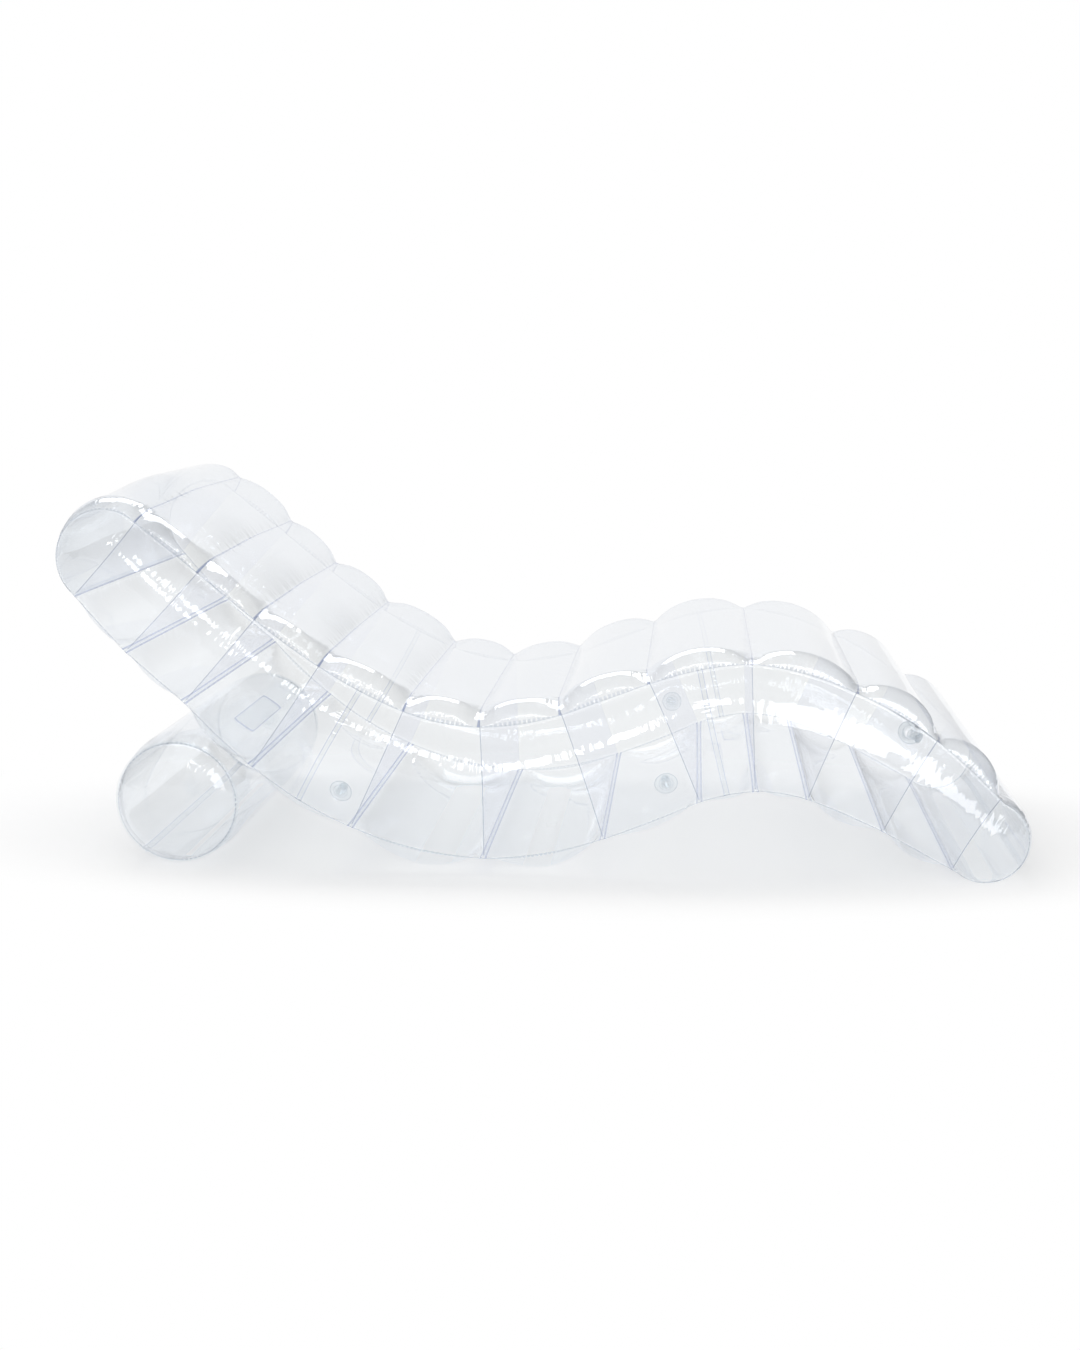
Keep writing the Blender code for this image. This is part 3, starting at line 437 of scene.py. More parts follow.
def web_patches(number):
    """A ruled band from the base weld up to the top weld, its ends bowed in, with its curl and its two flanges."""
    half = half_insets()
    insets = half[half > WEB_END_GAP]
    insets = np.concatenate([[WEB_END_GAP], insets])
    insets = np.concatenate([insets, insets[-2::-1]])
    side = np.ones(len(insets))
    side[: len(insets) // 2 + 1] = -1
    up = np.linspace(0, 1, WEB_ROWS + 1)[:, None]
    reach = WELD_WIDTH / 2 - WEB_END_GAP - WEB_BOW * 4 * up * (1 - up)
    y = side * (WELD_WIDTH / 2 - insets) / (WELD_WIDTH / 2 - WEB_END_GAP) * reach
    top_out = left_of(TOP_TANGENTS[number])
    base_out = -left_of(BASE_TANGENTS[number])
    y_inset = WELD_WIDTH / 2 - np.abs(y)
    rise = rise_at(y_inset, TOP_SHOULDER, 1.0) * near_fullness(y_inset, y, NEAR_KEPT[number], TOP_SHOULDER)
    rise = rise[..., None]
    top = TOP_SEAMS[number] + top_out * (TOP_RISES[number] * rise - WEB_LAYER)
    base = BASE_SEAMS[number] - base_out * WEB_LAYER
    section = base + (top - base) * up[..., None]
    points = np.stack([section[..., 0] - MIDDLE_X, y, section[..., 1]], axis=-1)
    height = up * np.linalg.norm(TOP_SEAMS[number] - BASE_SEAMS[number])
    length, width = np.broadcast_arrays(height, y)
    patches = [(points, width, length, {**PLAIN, "seam": reach - np.abs(y)})]
    lean = (TOP_TANGENTS[number] + BASE_TANGENTS[number])[[0, 0, 1]] * (0.5, 0, 0.5) * WEB_CURL
    cut = np.stack([points[:, 0] - lean, points[:, 0] + lean], axis=1)
    patches.append((cut, width[:, :2], length[:, :2], {**PLAIN, "seam": np.zeros(1)}))
    for row, tangent, inward in ((0, BASE_TANGENTS[number], -base_out), (-1, TOP_TANGENTS[number], -top_out)):
        strip = np.stack([points[row], points[row]])
        for edge, sign in ((0, -1), (1, 1)):
            strip[edge, :, 0] += sign * tangent[0] * WEB_FLANGE / 2
            strip[edge, :, 2] += sign * tangent[1] * WEB_FLANGE / 2
        patches.append((strip, np.stack([y[row], y[row]]), np.zeros((2, len(insets))), PLAIN))
    return patches


web_material = film_material(
    "web_film", 0, 0.0019, (0.66, 0.69, 0.77, 1), haze=0.004, mirror_share=0.15, rim=(0.93, 0.935, 0.975, 1))
for number in range(CELLS + 1):
    web = film_mesh(f"web_{number + 1:02d}", web_patches(number))
    fit(web, web_material, f"baffle_{number + 1:02d}")

# The top sheet: one film from the head's underside over the back, the seat and the knees to the foot's
# tip. It is welded to the webs along twelve thin cross welds, and between them the air swells it into
# thirteen soft cells whose shoulders pull down to the side welds.

TOP_SWELL_SHARES = (0.07, 0.06, 0.09, 0.097, 0.095, 0.088, 0.13, 0.16, 0.17, 0.21, 0.21)
TOP_STRIP = 0.004
FOOT_LAP_SHARE = 0.04

top_welds, top_crowns = cell_rows(TOP_SEAMS, TOP_CROWNS, TOP_TANGENTS, TOP_SWELL_SHARES, TOP_STRIP, 1)
round_head = np.linspace(0, 1, END_ROWS)
round_foot = np.linspace(0, FOOT_JOINT_SHARE + FOOT_LAP_SHARE, END_ROWS)
lap = (BASE_SEAMS[0] + BASE_TANGENTS[0] * CAD_STRIP / 2)[None]
top_welds = [lap, head_arc(TOP_SEAMS, HEAD_WELD_SHARE, round_head)] + top_welds
top_crowns = [lap, head_arc(TOP_CROWNS, HEAD_SWELL_SHARE, round_head)] + top_crowns
top_welds.append(foot_arc(TOP_SEAMS, FOOT_WELD_SHARE, round_foot))
top_crowns.append(foot_arc(TOP_CROWNS, FOOT_SWELL_SHARE, round_foot))
top_shoulders = [np.full(len(line), TOP_SHOULDER) for line in top_welds]
top_shoulders[0] = np.array([BASE_SHOULDER])
top_shoulders[1] = BASE_SHOULDER + (TOP_SHOULDER - BASE_SHOULDER) * round_head
top_shoulders[-1] = np.interp(round_foot, (0, FOOT_JOINT_SHARE), (TOP_SHOULDER, BASE_SHOULDER))
kept = [np.full(1 + END_ROWS, NEAR_KEPT[0])]
for cell in range(CELLS):
    kept += [[NEAR_KEPT[cell]], np.linspace(NEAR_KEPT[cell], NEAR_KEPT[cell + 1], CELL_ROWS + 1)]
kept = np.concatenate(kept + [np.ones(1 + END_ROWS)])
top_film = film_mesh("top_film", [sheet_patch(top_welds, top_crowns, top_shoulders, TOP_CROWNS, kept)])
top_material = film_material("top_film", 0, 0.0009, (0.50, 0.55, 0.70, 1), haze=0.05, head_on=0.13, power=2.6)
fit(top_film, top_material, "top_sheet")

# The side walls: three films on each side, lapped in the fourth and the eighth cell, welded all round
# to the lips of the two sheets. The air blows each wall out into a long even bulge, and the wall is
# pressed plane under the stiff flange of a valve.

SIDE_SWELL_SHARE = 0.165
WALL_ROWS = 36
WALL_END_COLUMNS = 14
HEAD_END_SHARES = (0.70, 0.30)
FOOT_END_SHARES = (0.31, 0.7215)
PANEL_LAP = 0.010
LAP_CELLS = (4, 8)
WALL_LAYER = 0.0004
FLANGE_REST = 0.0003
FLAT_RADIUS = 0.028
BLEND_RADIUS = 0.062
HOLE_RADIUS = 0.010
HOLE_CLEARANCE = 0.003
LEVEL_LEAST = 0.99
FLAP_RADIUS = 0.0069
FLAP_TOP = -0.0203


def valve_places():
    """Where each valve stands, from its joints: its middle on the wall, its outward axis and its level axis."""
    joints = {joint["name"]: joint for joint in frame["joints"]}
    places = {}
    for name in ("back_valve", "leg_valve", "seat_valve", "roller_valve"):
        hinge = joints[name + "_flap_hinge"]
        out = Vector(joints[name + "_stem_pull"]["axis"]).normalized()
        level = Vector(hinge["axis"]).normalized()
        up = out.cross(level)
        places[name] = (Vector(hinge["pos_m"]) - up * FLAP_RADIUS - out * FLAP_TOP, out, level, up)
    return places


def valve_place(middle, out):
    """A valve's middle and three axes: its outward axis, a level one square to it, and one square to both."""
    level = Vector((out.y, -out.x, 0)).normalized()
    return middle, out, level, out.cross(level)


VALVES = valve_places()
FOOT_VALVE = valve_place(Vector((0.6895, -0.3862, 0.2915)), Vector((0.27, -0.875, 0.40)).normalized())


def wall_valves(side):
    """Middle and outward axis of each valve in this side wall. The roller's valve points level and isn't in one."""
    return [(origin, out) for origin, out, _, _ in (*VALVES.values(), FOOT_VALVE)
            if abs(out.y) < LEVEL_LEAST and out.y * side > 0]


def end_columns(top_points, base_points, end_line):
    """Columns from the end of the wall inward: straight lines between the welds, bowed by the end's own curve."""
    share = np.linspace(0, 1, WALL_ROWS + 1)[None, :, None]
    chord = end_line[0] + (end_line[-1] - end_line[0]) * share[0]
    bow = end_line - chord
    fade = (1 - np.linspace(0, 1, len(top_points))[:, None, None]) ** 2
    return top_points[:, None] + (base_points - top_points)[:, None] * share + bow[None] * fade


def wall_columns():
    """All columns of the wall from head to foot as side view points, and where each cell's middle column is."""
    step = np.linspace(0, 1, WALL_END_COLUMNS)
    rows = np.linspace(0, 1, WALL_ROWS + 1)
    top_share, base_share = HEAD_END_SHARES
    top = head_arc(TOP_SEAMS, HEAD_WELD_SHARE, top_share + (1 - top_share) * step)
    base = head_arc(TOP_SEAMS, HEAD_WELD_SHARE, base_share * (1 - step))
    end = head_arc(TOP_SEAMS, HEAD_WELD_SHARE, top_share + (base_share - top_share) * rows)
    columns = [end_columns(top, base, end)]
    middles = {}
    count = WALL_END_COLUMNS
    shares = np.linspace(0, 1, CELL_ROWS + 1)
    share = rows[None, :, None]
    for cell in range(CELLS):
        above = cell_weld(TOP_SEAMS, TOP_TANGENTS, cell, shares)[:, None]
        below = cell_weld(BASE_SEAMS, BASE_TANGENTS, cell, shares)[:, None]
        middles[cell + 1] = count + CELL_ROWS // 2
        columns.append(above + (below - above) * share)
        count += CELL_ROWS + 1
    top_share, base_share = FOOT_END_SHARES
    top = foot_arc(TOP_SEAMS, FOOT_WELD_SHARE, top_share * (1 - step))
    base = foot_arc(TOP_SEAMS, FOOT_WELD_SHARE, base_share + (1 - base_share) * step)
    end = foot_arc(TOP_SEAMS, FOOT_WELD_SHARE, top_share + (base_share - top_share) * rows)
    columns.append(end_columns(top, base, end)[::-1])
    return np.vstack(columns), middles


def distance_to(outline, points):
    """Each point's least distance to the closed outline, taken segment by segment."""
    reach = np.roll(outline, -1, axis=0) - outline
    square = np.maximum((reach**2).sum(axis=1), 1e-12)
    least = np.full(points.shape[:-1], np.inf)
    for start, span, size in zip(outline, reach, square):
        share = np.clip(((points - start) * span).sum(axis=-1) / size, 0, 1)
        least = np.minimum(least, np.linalg.norm(points - start - share[..., None] * span, axis=-1))
    return least


def wall_grid(side):
    """The wall's points and their distances to the weld: bulge = 2 swell x half height x (1 - nearness squared)."""
    columns, middles = wall_columns()
    outline = np.vstack([columns[:, 0], columns[-1, 1:-1], columns[::-1, -1], columns[0, 1:-1][::-1]])
    heights = np.linalg.norm(columns[:, 0] - columns[:, -1], axis=1)
    heights[:WALL_END_COLUMNS] = heights[WALL_END_COLUMNS]
    heights[-WALL_END_COLUMNS:] = heights[-WALL_END_COLUMNS - 1]
    half = heights[:, None] / 2
    away = distance_to(outline, columns)
    nearness = 1 - np.minimum(1, away / half)
    points = np.zeros(columns.shape[:2] + (3,))
    points[..., 0] = columns[..., 0] - MIDDLE_X
    points[..., 1] = side * (WELD_WIDTH / 2 + 2 * SIDE_SWELL_SHARE * half * (1 - nearness**2))
    points[..., 2] = columns[..., 1]
    points = np.pad(points, ((1, 1), (1, 1), (0, 0)), mode="edge")
    away = np.pad(away, 1, constant_values=-LIP)
    for lip in (points[0], points[-1], points[:, 0], points[:, -1]):
        lip[:, 1] = side * (WELD_WIDTH / 2 + LIP)
    points[..., 1] += side * WALL_LAYER
    return points, away, {cell: column + 1 for cell, column in middles.items()}


def pressed_plane(points, side):
    """Moves the wall into the plane under each valve's flange, fading out round it."""
    for origin, out in wall_valves(side):
        axis = np.array(out)
        offset = points - np.array(origin)
        height = offset @ axis + FLANGE_REST
        radius = np.linalg.norm(offset - height[..., None] * axis, axis=-1)
        weight = eased((BLEND_RADIUS - radius) / (BLEND_RADIUS - FLAT_RADIUS)) * (np.abs(height) < BLEND_RADIUS)
        points = points - (height * weight)[..., None] * axis
    return points


def cut_hole(piece, origin, out):
    """Opens a round hole in the plane under a flange: the faces over it go, and the rim moves onto a circle."""
    shell = bmesh.new()
    shell.from_mesh(piece.data)
    reach = HOLE_RADIUS + HOLE_CLEARANCE
    gone = [face for face in shell.faces if (face.calc_center_median() - origin).length < reach]
    rim = {vert for face in gone for vert in face.verts}
    bmesh.ops.delete(shell, geom=gone, context="FACES")
    for vert in rim:
        if vert.is_valid:
            offset = vert.co - origin
            height = out * offset.dot(out)
            vert.co = origin + height + (offset - height).normalized() * HOLE_RADIUS
    shell.to_mesh(piece.data)
    shell.free()


wall_material = film_material("wall_film", 0, 0.0009)
for side, side_name in ((-1, "near"), (1, "far")):
    grid, away, middles = wall_grid(side)
    webs_at = np.array([middles[1] + (cell - 0.5) * (CELL_ROWS + 1) for cell in range(CELLS + 1)])
    grid = pressed_plane(grid, side)
    run = lengths(grid[:, grid.shape[1] // 2])
    to_web = np.abs(np.arange(len(grid))[:, None] - webs_at).min(axis=1)
    to_web = to_web * np.linalg.norm(np.diff(grid[:, 1], axis=0), axis=1).mean()
    drop = np.linspace(0, 1, grid.shape[1])[None] * np.linalg.norm(grid[:, 0] - grid[:, -1], axis=1)[:, None]
    first, last = (middles[cell] for cell in LAP_CELLS)
    panels = (("head", 0, first + 1, 0), ("seat", first, last + 1, 1), ("foot", last, len(grid), 0))
    for panel, start, stop, layer in panels:
        part = grid[start:stop].copy()
        place = run[start:stop].copy()
        to_lap = np.full(part.shape[:1], 1.0)
        for end, inner in ((0, 1), (-1, -2)):
            if (panel, end) in (("head", -1), ("seat", 0), ("seat", -1), ("foot", 0)):
                reach = part[end] - part[inner]
                part[end] += reach / np.linalg.norm(reach, axis=1)[:, None] * PANEL_LAP / 2
                to_lap[end] = 0
                place[end] += (1 if end else -1) * PANEL_LAP / 2
        part[..., 1] += side * layer * WALL_LAYER
        along, across = np.broadcast_arrays(place[:, None], drop[start:stop])
        from_ends = np.full(len(part), 1.0)
        if panel != "head":
            from_ends = np.minimum(from_ends, place - place[0])
        if panel != "foot":
            from_ends = np.minimum(from_ends, place[-1] - place)
        edge = away[start:stop]
        layers = {"seam": from_ends[:, None], "edge": edge, "pull": to_web[start:stop][:, None]}
        wall = film_mesh(f"{side_name}_{panel}_wall", [(part, along, across, layers)], side < 0)
        for origin, out in wall_valves(side):
            cut_hole(wall, origin, out)
        fit(wall, wall_material, f"{side_name}_{panel}_panel")

# The roller under the back: a clear film rolled to a tube and lapped along one seam, and a domed disc
# welded on each end. It is pressed flat on the floor and where a patch holds it under the third cell.

ROLLER_CENTRE = (-0.70596, 0.12744)
ROLLER_RADIUS = 0.12794
ROLLER_LENGTH = 0.75
ROLLER_RING_DROP = 0.0125
ROLLER_SHOULDER = 0.080
ROLLER_FLATS = ((-90.0, 0.12744), (54.534, 0.12544))
ROLLER_SEAM_ANGLE = -125
ROLLER_LAP = 0.012
DISC_DOME = 0.034
DISC_FLAT_RADIUS = 0.027
DISC_RINGS = 24
ROUND_STEPS = 128
LAP_STEPS = 5


def roller_patch_grid():
    """The wrap: its radius rises by a sine from each end ring, and is cut back to the plane of each flat."""
    half_lap = math.degrees(ROLLER_LAP / 2 / ROLLER_RADIUS)
    angles = np.linspace(ROLLER_SEAM_ANGLE - half_lap, ROLLER_SEAM_ANGLE + 360 + half_lap, ROUND_STEPS + 1)
    ring = ROLLER_RADIUS - ROLLER_RING_DROP
    turn = np.linspace(0, math.pi / 2, SHOULDER_STEPS + 1)
    middle = np.linspace(ROLLER_SHOULDER, ROLLER_LENGTH / 2, 9)[1:]
    inset = np.concatenate([[0.0], ROLLER_SHOULDER * (1 - np.cos(turn)), middle])
    radius = ring + (ROLLER_RADIUS - ring) * np.sin(np.clip(inset / ROLLER_SHOULDER, 0, 1) * math.pi / 2)
    radius[0] += LIP
    edge = inset.copy()
    edge[0] = -LIP
    inset, edge, radius = (np.concatenate([half, half[-2::-1]]) for half in (inset, edge, radius))
    side = np.ones(len(inset))
    side[: len(inset) // 2 + 1] = -1
    reach = np.broadcast_to(radius[None], (len(angles), len(radius)))
    for flat_angle, distance in ROLLER_FLATS:
        cosine = np.cos(np.radians(angles - flat_angle))[:, None]
        reach = np.where(cosine > 0.5, np.minimum(reach, distance / np.maximum(cosine, 0.5)), reach)
    overlap = np.zeros(len(angles))
    overlap[-LAP_STEPS:] = WEB_LAYER
    reach = reach + overlap[:, None]
    around = np.radians(angles)[:, None]
    y = side * (ROLLER_LENGTH / 2 - WALL_LAYER - inset)
    points = np.stack([
        ROLLER_CENTRE[0] + reach * np.cos(around),
        np.broadcast_to(y, reach.shape),
        ROLLER_CENTRE[1] + reach * np.sin(around)], axis=-1)
    along, across = np.broadcast_arrays(np.radians(angles)[:, None] * ROLLER_RADIUS, y)
    from_seam = np.minimum(angles - angles[0], angles[-1] - angles) * math.pi / 180 * ROLLER_RADIUS
    return points, along, across, {**PLAIN, "seam": from_seam[:, None], "edge": edge[None]}


roller_film = film_mesh("roller_film", [roller_patch_grid()], True)
roller_material = film_material("roller_film", 0, 0.0009, rim=(0.84, 0.865, 0.90, 1))
fit(roller_film, roller_material, "roller_wrap")


def disc_grid(side, hole):
    """A domed disc: its height rises by a sine of the turn from ring to middle, where it is flat."""
    ring = ROLLER_RADIUS - ROLLER_RING_DROP
    last = math.acos(DISC_FLAT_RADIUS / ring)
    turn = np.linspace(0, last, DISC_RINGS)
    radius = np.concatenate([[ring + LIP], ring * np.cos(turn), np.linspace(DISC_FLAT_RADIUS, hole, 6)[1:]])
    height = np.concatenate([[0.0], DISC_DOME * np.sin(turn) / math.sin(last), np.full(5, DISC_DOME)])
    around = np.linspace(0, 2 * math.pi, ROUND_STEPS + 1)[:, None]
    points = np.stack([
        ROLLER_CENTRE[0] + radius * np.cos(around),
        np.broadcast_to(side * (ROLLER_LENGTH / 2 + FLANGE_REST + height), (len(around), len(radius))),
        ROLLER_CENTRE[1] + radius * np.sin(around)], axis=-1)
    along, across = np.broadcast_arrays(around * ring, radius)
    return points, along, across, {**PLAIN, "edge": (ring - radius)[None]}


for side, side_name, hole in ((-1, "near", 0), (1, "far", HOLE_RADIUS)):
    disc = closed(film_mesh(f"roller_{side_name}_dome", [disc_grid(side, hole)]))
    if (disc.data.polygons[0].normal.y > 0) != (side > 0):
        disc.data.flip_normals()
    fit(disc, roller_material, f"roller_{side_name}_disc")

# The weld patch: a small rounded rectangle of clear film between the roller and the back's third cell,
# pressed flat and welded to both along its rim. It is all that holds the roller.

PATCH_MIDDLE = (-0.63289, 0.23001)
PATCH_NORMAL = (-0.58023, -0.81445)
PATCH_LENGTH = 0.27
PATCH_WIDTH = 0.048
PATCH_CORNER = 0.012


def rounded_plate(length, width, corner, middle, normal):
    """Nested outlines of a rounded rectangle, from its rim to its middle, laid in the plane square to the normal."""
    turn = np.append(np.linspace(0, 2 * math.pi, 64, endpoint=False), 0)
    outline = np.stack([
        np.sign(np.cos(turn)) * (length / 2 - corner) + corner * np.cos(turn),
        np.sign(np.sin(turn)) * (width / 2 - corner) + corner * np.sin(turn)], axis=1)
    shares = np.array([1, 0.96, 0.6, 0.3, 0])
    flat = outline[:, None] * shares[None, :, None]
    slope = np.array([-normal[1], normal[0]])
    points = np.zeros(flat.shape[:2] + (3,))
    points[..., 0] = middle[0] + normal[0] * WEB_LAYER / 2 + slope[0] * flat[..., 1]
    points[..., 1] = flat[..., 0]
    points[..., 2] = middle[1] + normal[1] * WEB_LAYER / 2 + slope[1] * flat[..., 1]
    return points, flat[..., 0], flat[..., 1], {**PLAIN, "seam": (1 - shares)[None] * corner}


plate = rounded_plate(PATCH_LENGTH, PATCH_WIDTH, PATCH_CORNER, PATCH_MIDDLE, PATCH_NORMAL)
patch = closed(film_mesh("roller_weld_patch", [plate]))
fit(patch, roller_material, "roller_patch")

# The valves: four of soft clear moulded vinyl. A flange and collar are welded into the wall over its hole,
# the stem is a tube pushed into the collar, the plug stops the stem, and a flap hangs under its end.

FLANGE_PROFILE = (
    (0.0080, 0.0015), (0.0118, 0.0015), (0.0126, 0.0022), (0.0140, 0.0022), (0.0148, 0.0015), (0.0205, 0.0012),
    (0.0220, 0.0007), (0.0220, 0.0003), (0.0098, 0.0003), (0.0095, -0.0140), (0.0080, -0.0140),
)
STEM_PROFILE = (
    (0.0052, 0.0028), (0.0105, 0.0028), (0.0105, 0.0018), (0.0077, 0.0017), (0.0077, -0.0200), (0.0052, -0.0200),
)
PLUG_PROFILE = (
    (0.0, 0.0040), (0.0036, 0.0040), (0.0046, 0.0045), (0.0074, 0.0045), (0.0090, 0.0039), (0.0090, 0.0031),
    (0.0050, 0.0030), (0.0049, -0.0044), (0.0042, -0.0052), (0.0, -0.0052),
)
FLAP_BASE = FLAP_TOP - 0.0008
FLAP_PROFILE = ((0.0, FLAP_TOP), (FLAP_RADIUS, FLAP_TOP), (FLAP_RADIUS, FLAP_BASE), (0.0, FLAP_BASE))
MOULD_ROUNDING = 0.0003
ROUNDING_MOST = 0.45
WELD_RINGS = (0.0133, 0.0212)
VINYL_STROKE = (0.86, 0.88, 0.91, 1)
VALVE_STEPS = 72


def rounded_profile(profile, loop):
    """The profile with each corner cut by a quadratic curve as long as the mould's rounding on each side."""
    points = np.array(profile)
    count = len(points)
    made = []
    for place in range(count):
        corner = points[place]
        if not loop and place in (0, count - 1):
            made.append(corner[None])
            continue
        before = points[place - 1] - corner
        after = points[(place + 1) % count] - corner
        start = corner + before * min(ROUNDING_MOST, MOULD_ROUNDING / np.linalg.norm(before))
        end = corner + after * min(ROUNDING_MOST, MOULD_ROUNDING / np.linalg.norm(after))
        share = np.linspace(0, 1, 5)[:, None]
        made.append((1 - share) ** 2 * start + 2 * share * (1 - share) * corner + share**2 * end)
    line = np.vstack(made)
    return np.vstack([line, line[:1]]) if loop else line


def turned(name, profile, loop, place):
    """A piece turned on a valve's axis: each profile point carried round a circle of its own radius."""
    origin, out, level, up = (np.array(part) for part in place)
    line = rounded_profile(profile, loop)
    around = np.linspace(0, 2 * math.pi, VALVE_STEPS + 1)[:, None, None]
    spoke = np.cos(around) * level + np.sin(around) * up
    points = origin + spoke * line[None, :, :1] + out * line[None, :, 1:]
    along, across = np.broadcast_arrays(around[..., 0] * FLAT_RADIUS, lengths(line)[None])
    ring = np.abs(line[:, 0][:, None] - WELD_RINGS).min(axis=1) + (line[:, 1] < FLANGE_REST)
    return closed(film_mesh(name, [(points, along, across, {**PLAIN, "seam": ring[None]})]))


flange_vinyl = film_material(
    "flange_vinyl", 0, 0.0006, VINYL_STROKE, haze=0.01, mirror_share=0.5, rim=(0.97, 0.975, 0.98, 1))
stem_vinyl = film_material(
    "stem_vinyl", 0, 0.0004, VINYL_STROKE, haze=0.01, mirror_share=0.5, rim=(0.98, 0.98, 0.985, 1))
plug_vinyl = film_material(
    "plug_vinyl", 0, 0.0006, VINYL_STROKE, haze=0.02, mirror_share=0.6, rim=(0.97, 0.975, 0.98, 1))
for name, place in VALVES.items():
    for part, profile, loop, paint, body, slot in (
        ("base", FLANGE_PROFILE, True, flange_vinyl, "lounger", "valve_vinyl"),
        ("stem", STEM_PROFILE, True, stem_vinyl, f"{name}_stem_body", "valve_vinyl"),
        ("plug", PLUG_PROFILE, False, plug_vinyl, f"{name}_plug_body", "plug_vinyl"),
        ("flap", FLAP_PROFILE, False, stem_vinyl, f"{name}_flap_body", "valve_vinyl"),
    ):
        piece = turned(f"{name}_{part}_moulded", profile, loop, place)
        fit(piece, paint, f"{name}_{part}", body=body, slot=slot)

# The foot valve: one more of moulded vinyl, welded into the near wall in the tenth cell. Its stem is drawn out
# and leans over to the foot, with the plug in it. Its grey is painted reflection: the dark reflection of the
# camera and photographer on the wall's bulge, laid on the stem and plug as their colour.

FOOT_STEM_REACH = 0.021
FOOT_STEM_LEAN = Vector((0.70, -0.655, -0.285)).normalized()

leaning = valve_place(FOOT_VALVE[0] + FOOT_STEM_LEAN * FOOT_STEM_REACH, FOOT_STEM_LEAN)
# Painted reflection: this grey on the foot valve's stem and plug stands in for the camera side's dark reflection on
# the wall.
painted_reflection_vinyl = film_material(
    "painted_reflection_vinyl", 0, 0.0006, (0.58, 0.62, 0.68, 1), haze=0.10, mirror_share=0.6, rim=(0.50, 0.56, 0.64, 1))
for part, profile, loop, paint, place, slot in (
    ("base", FLANGE_PROFILE, True, flange_vinyl, FOOT_VALVE, "valve_vinyl"),
    ("stem", STEM_PROFILE, True, painted_reflection_vinyl, leaning, "valve_vinyl"),
    ("plug", PLUG_PROFILE, False, painted_reflection_vinyl, leaning, "plug_vinyl"),
):
    fit(turned(f"painted_reflection_valve_{part}_moulded", profile, loop, place), paint, slot=slot)

# The studio: a wide pale floor that keeps the lounger's soft shadow, a white sweep behind it, a dim room
# in front, a long softbox overhead, and three beside the camera that draw the bright bands on the film.

FLOOR_SIZE = 14
FLOOR_NEAR = 0.72
FLOOR_FAR = 1.18
FLOOR_OVAL = (0.75, 1.75, 1)
FLOOR_COLOUR = (0.80, 0.80, 0.80, 1)
FLOOR_LIFT = 0.36
ROOM_RISE = (-0.1, 0.8, 0.64, 0.98)
ABOVE_FALL = (0.50, 0.58, 1, 0.40)
BESIDE_FALL = (0.30, 0.80, 1, 0.20)
BESIDE_SHIFT = 0.20


def eased_node(tree, value, start, stop, low, high):
    """A Map Range node's result: a value eased from one range to another."""
    node = tree.nodes.new("ShaderNodeMapRange")
    node.interpolation_type = "SMOOTHSTEP"
    for socket, given in zip(("From Min", "From Max", "To Min", "To Max"), (start, stop, low, high)):
        node.inputs[socket].default_value = given
    tree.links.new(value, node.inputs["Value"])
    return node.outputs[0]


floor_corners = [(x * FLOOR_SIZE, y * FLOOR_SIZE, 0) for x, y in ((-1, -1), (1, -1), (1, 1), (-1, 1))]
floor_mesh = bpy.data.meshes.new("studio_floor")
floor_mesh.from_pydata(floor_corners, [], [(0, 1, 2, 3)])
floor = bpy.data.objects.new("studio_floor", floor_mesh)
bpy.context.scene.collection.objects.link(floor)
floor_paint = bpy.data.materials.new("studio_floor")
floor_paint.use_nodes = True
tree = floor_paint.node_tree
sweep = tree.nodes["Principled BSDF"]
sweep.inputs["Roughness"].default_value = 0.7
sweep.inputs["Specular IOR Level"].default_value = 0.0
sweep.inputs["Emission Color"].default_value = (1, 1, 1, 1)
path = tree.nodes.new("ShaderNodeLightPath")
seen = value_node(tree, "MAXIMUM", path.outputs["Is Camera Ray"], path.outputs["Is Glossy Ray"])
seen = value_node(tree, "MAXIMUM", seen, path.outputs["Is Transmission Ray"])
place = tree.nodes.new("ShaderNodeTexCoord")
oval = tree.nodes.new("ShaderNodeMapping")
oval.inputs["Scale"].default_value = FLOOR_OVAL
tree.links.new(place.outputs["Object"], oval.inputs["Vector"])
reach = tree.nodes.new("ShaderNodeVectorMath")
reach.operation = "LENGTH"
tree.links.new(oval.outputs[0], reach.inputs[0])
far_off = eased_node(tree, reach.outputs["Value"], FLOOR_NEAR, FLOOR_FAR, 0, 1)
gone = value_node(tree, "MULTIPLY", far_off, seen)
tree.links.new(mixed_colour(tree, gone, FLOOR_COLOUR, (0.0, 0.0, 0.0, 1)), sweep.inputs["Base Color"])
lift = value_node(tree, "MULTIPLY_ADD", far_off, 1 - FLOOR_LIFT, FLOOR_LIFT)
tree.links.new(value_node(tree, "MULTIPLY", lift, seen), sweep.inputs["Emission Strength"])
floor.data.materials.append(floor_paint)

world = bpy.data.worlds.new("studio")
bpy.context.scene.world = world
world.use_nodes = True
tree = world.node_tree
tree.nodes.clear()
path = tree.nodes.new("ShaderNodeLightPath")
way = tree.nodes.new("ShaderNodeTexCoord")
split = tree.nodes.new("ShaderNodeSeparateXYZ")
tree.links.new(way.outputs["Generated"], split.inputs[0])
room = eased_node(tree, split.outputs["Y"], *ROOM_RISE)
above = eased_node(tree, split.outputs["Z"], *ABOVE_FALL)
sideways = value_node(tree, "ABSOLUTE", value_node(tree, "ADD", split.outputs["X"], BESIDE_SHIFT))
beside = eased_node(tree, sideways, *BESIDE_FALL)
darkened = value_node(tree, "MULTIPLY", beside, value_node(tree, "MINIMUM", room, above))
dim = tree.nodes.new("ShaderNodeBackground")
dim.inputs["Color"].default_value = (1, 1, 1, 1)
tree.links.new(darkened, dim.inputs["Strength"])
white = tree.nodes.new("ShaderNodeBackground")
white.inputs["Color"].default_value = (1, 1, 1, 1)
white.inputs["Strength"].default_value = 1
mixed = tree.nodes.new("ShaderNodeMixShader")
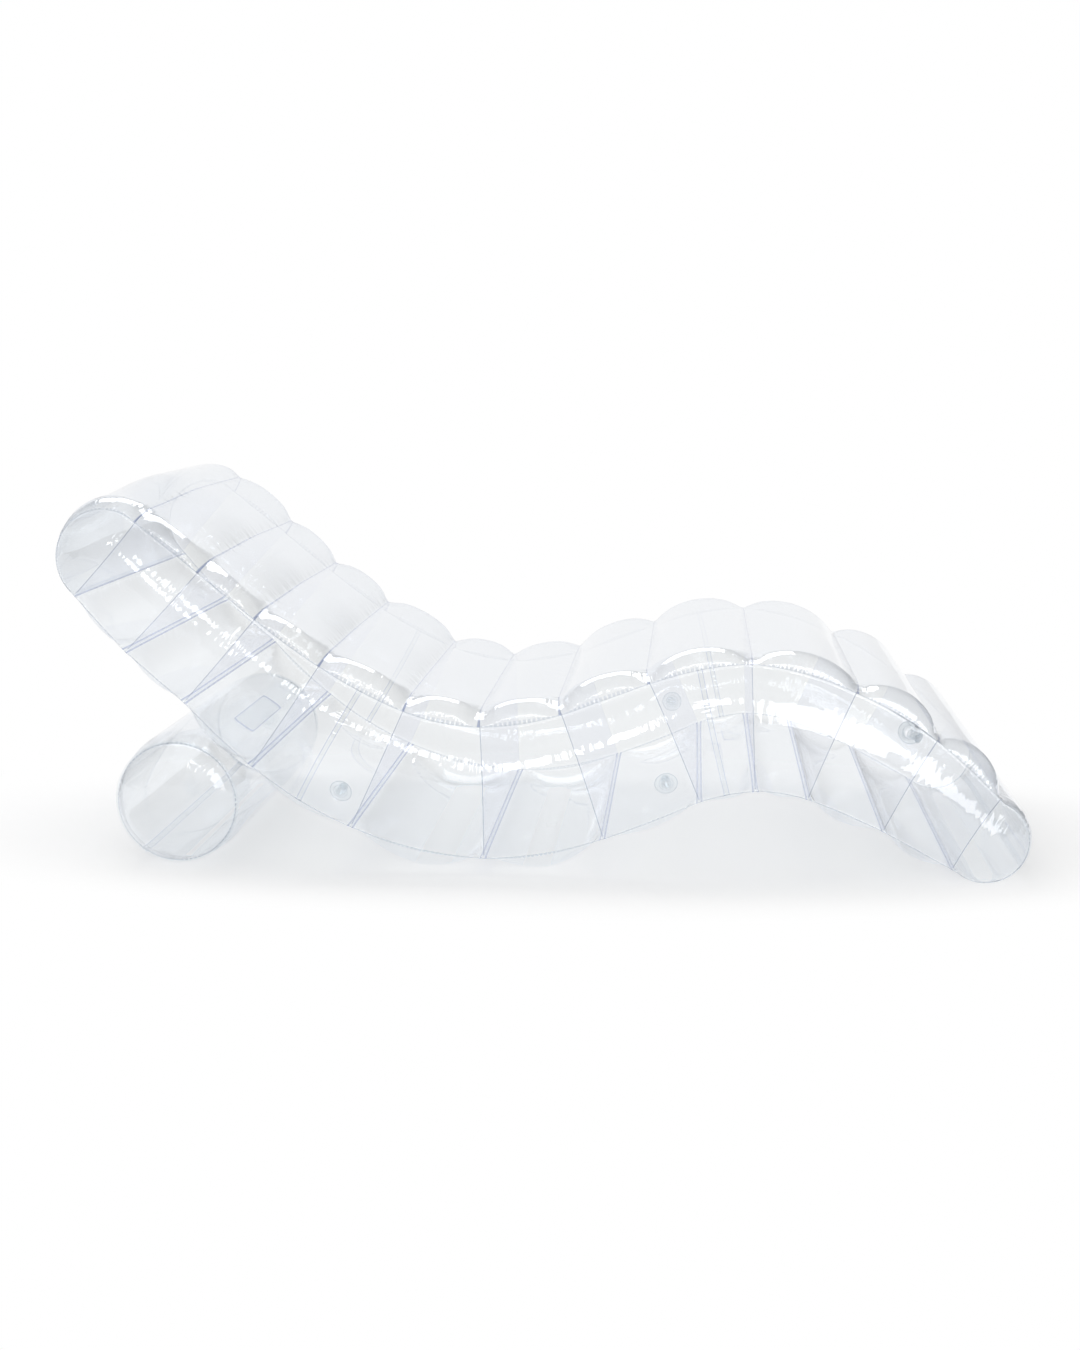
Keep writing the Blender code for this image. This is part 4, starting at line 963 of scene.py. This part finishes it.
tree.links.new(path.outputs["Is Camera Ray"], mixed.inputs["Fac"])
tree.links.new(dim.outputs[0], mixed.inputs[1])
tree.links.new(white.outputs[0], mixed.inputs[2])
out = tree.nodes.new("ShaderNodeOutputWorld")
tree.links.new(mixed.outputs[0], out.inputs["Surface"])


def softbox(name, place, aim, width, height, radiance, outline="RECTANGLE"):
    """A flat lamp at a place, turned to face a point, with its power from its brightness and area."""
    lamp = bpy.data.lights.new(name, "AREA")
    lamp.shape = outline
    lamp.size = width
    lamp.size_y = height
    lamp.energy = radiance * math.pi * width * height
    holder = bpy.data.objects.new(name, lamp)
    bpy.context.scene.collection.objects.link(holder)
    holder.location = place
    holder.rotation_euler = (Vector(aim) - Vector(place)).to_track_quat("-Z", "Y").to_euler()
    holder.visible_camera = False


softbox("overhead_softbox", (-0.75, 1.3, 3.2), (-0.6, 0.5, 0.0), 3.3, 2.1, 2.7)
softbox("right_softbox", (2.22, -4.3, 1.32), (0.5, 0.0, 0.3), 2.63, 2.0, 3.0)
softbox("knee_softbox", (-0.12, -4.3, 2.05), (0.2, 0.0, 0.3), 0.55, 0.45, 4.0)
softbox("head_softbox", (-0.76, -4.3, 1.54), (-0.7, 0.0, 0.5), 0.36, 0.62, 5.0, "ELLIPSE")

# The camera: where the photograph was taken from, a little above the knees and almost square to the
# near wall. Its place and turns were solved from the two level floor contacts and the cross welds.

CAMERA_PLACE = (0.289649, -3.69972, 0.98304)
CAMERA_TILT = 0.17650
CAMERA_TURN = 0.08548

camera = bpy.data.cameras.new("camera")
camera.lens = 60
camera.sensor_width = 36
camera.sensor_fit = "HORIZONTAL"
viewer = bpy.data.objects.new("camera", camera)
bpy.context.scene.collection.objects.link(viewer)
viewer.location = Vector(CAMERA_PLACE) - Vector((MIDDLE_X, 0, 0))
viewer.rotation_euler = (math.pi / 2 - CAMERA_TILT, 0, CAMERA_TURN)
bpy.context.scene.camera = viewer

scene = bpy.context.scene
scene.view_settings.view_transform = "Standard"
scene.cycles.transparent_max_bounces = 48
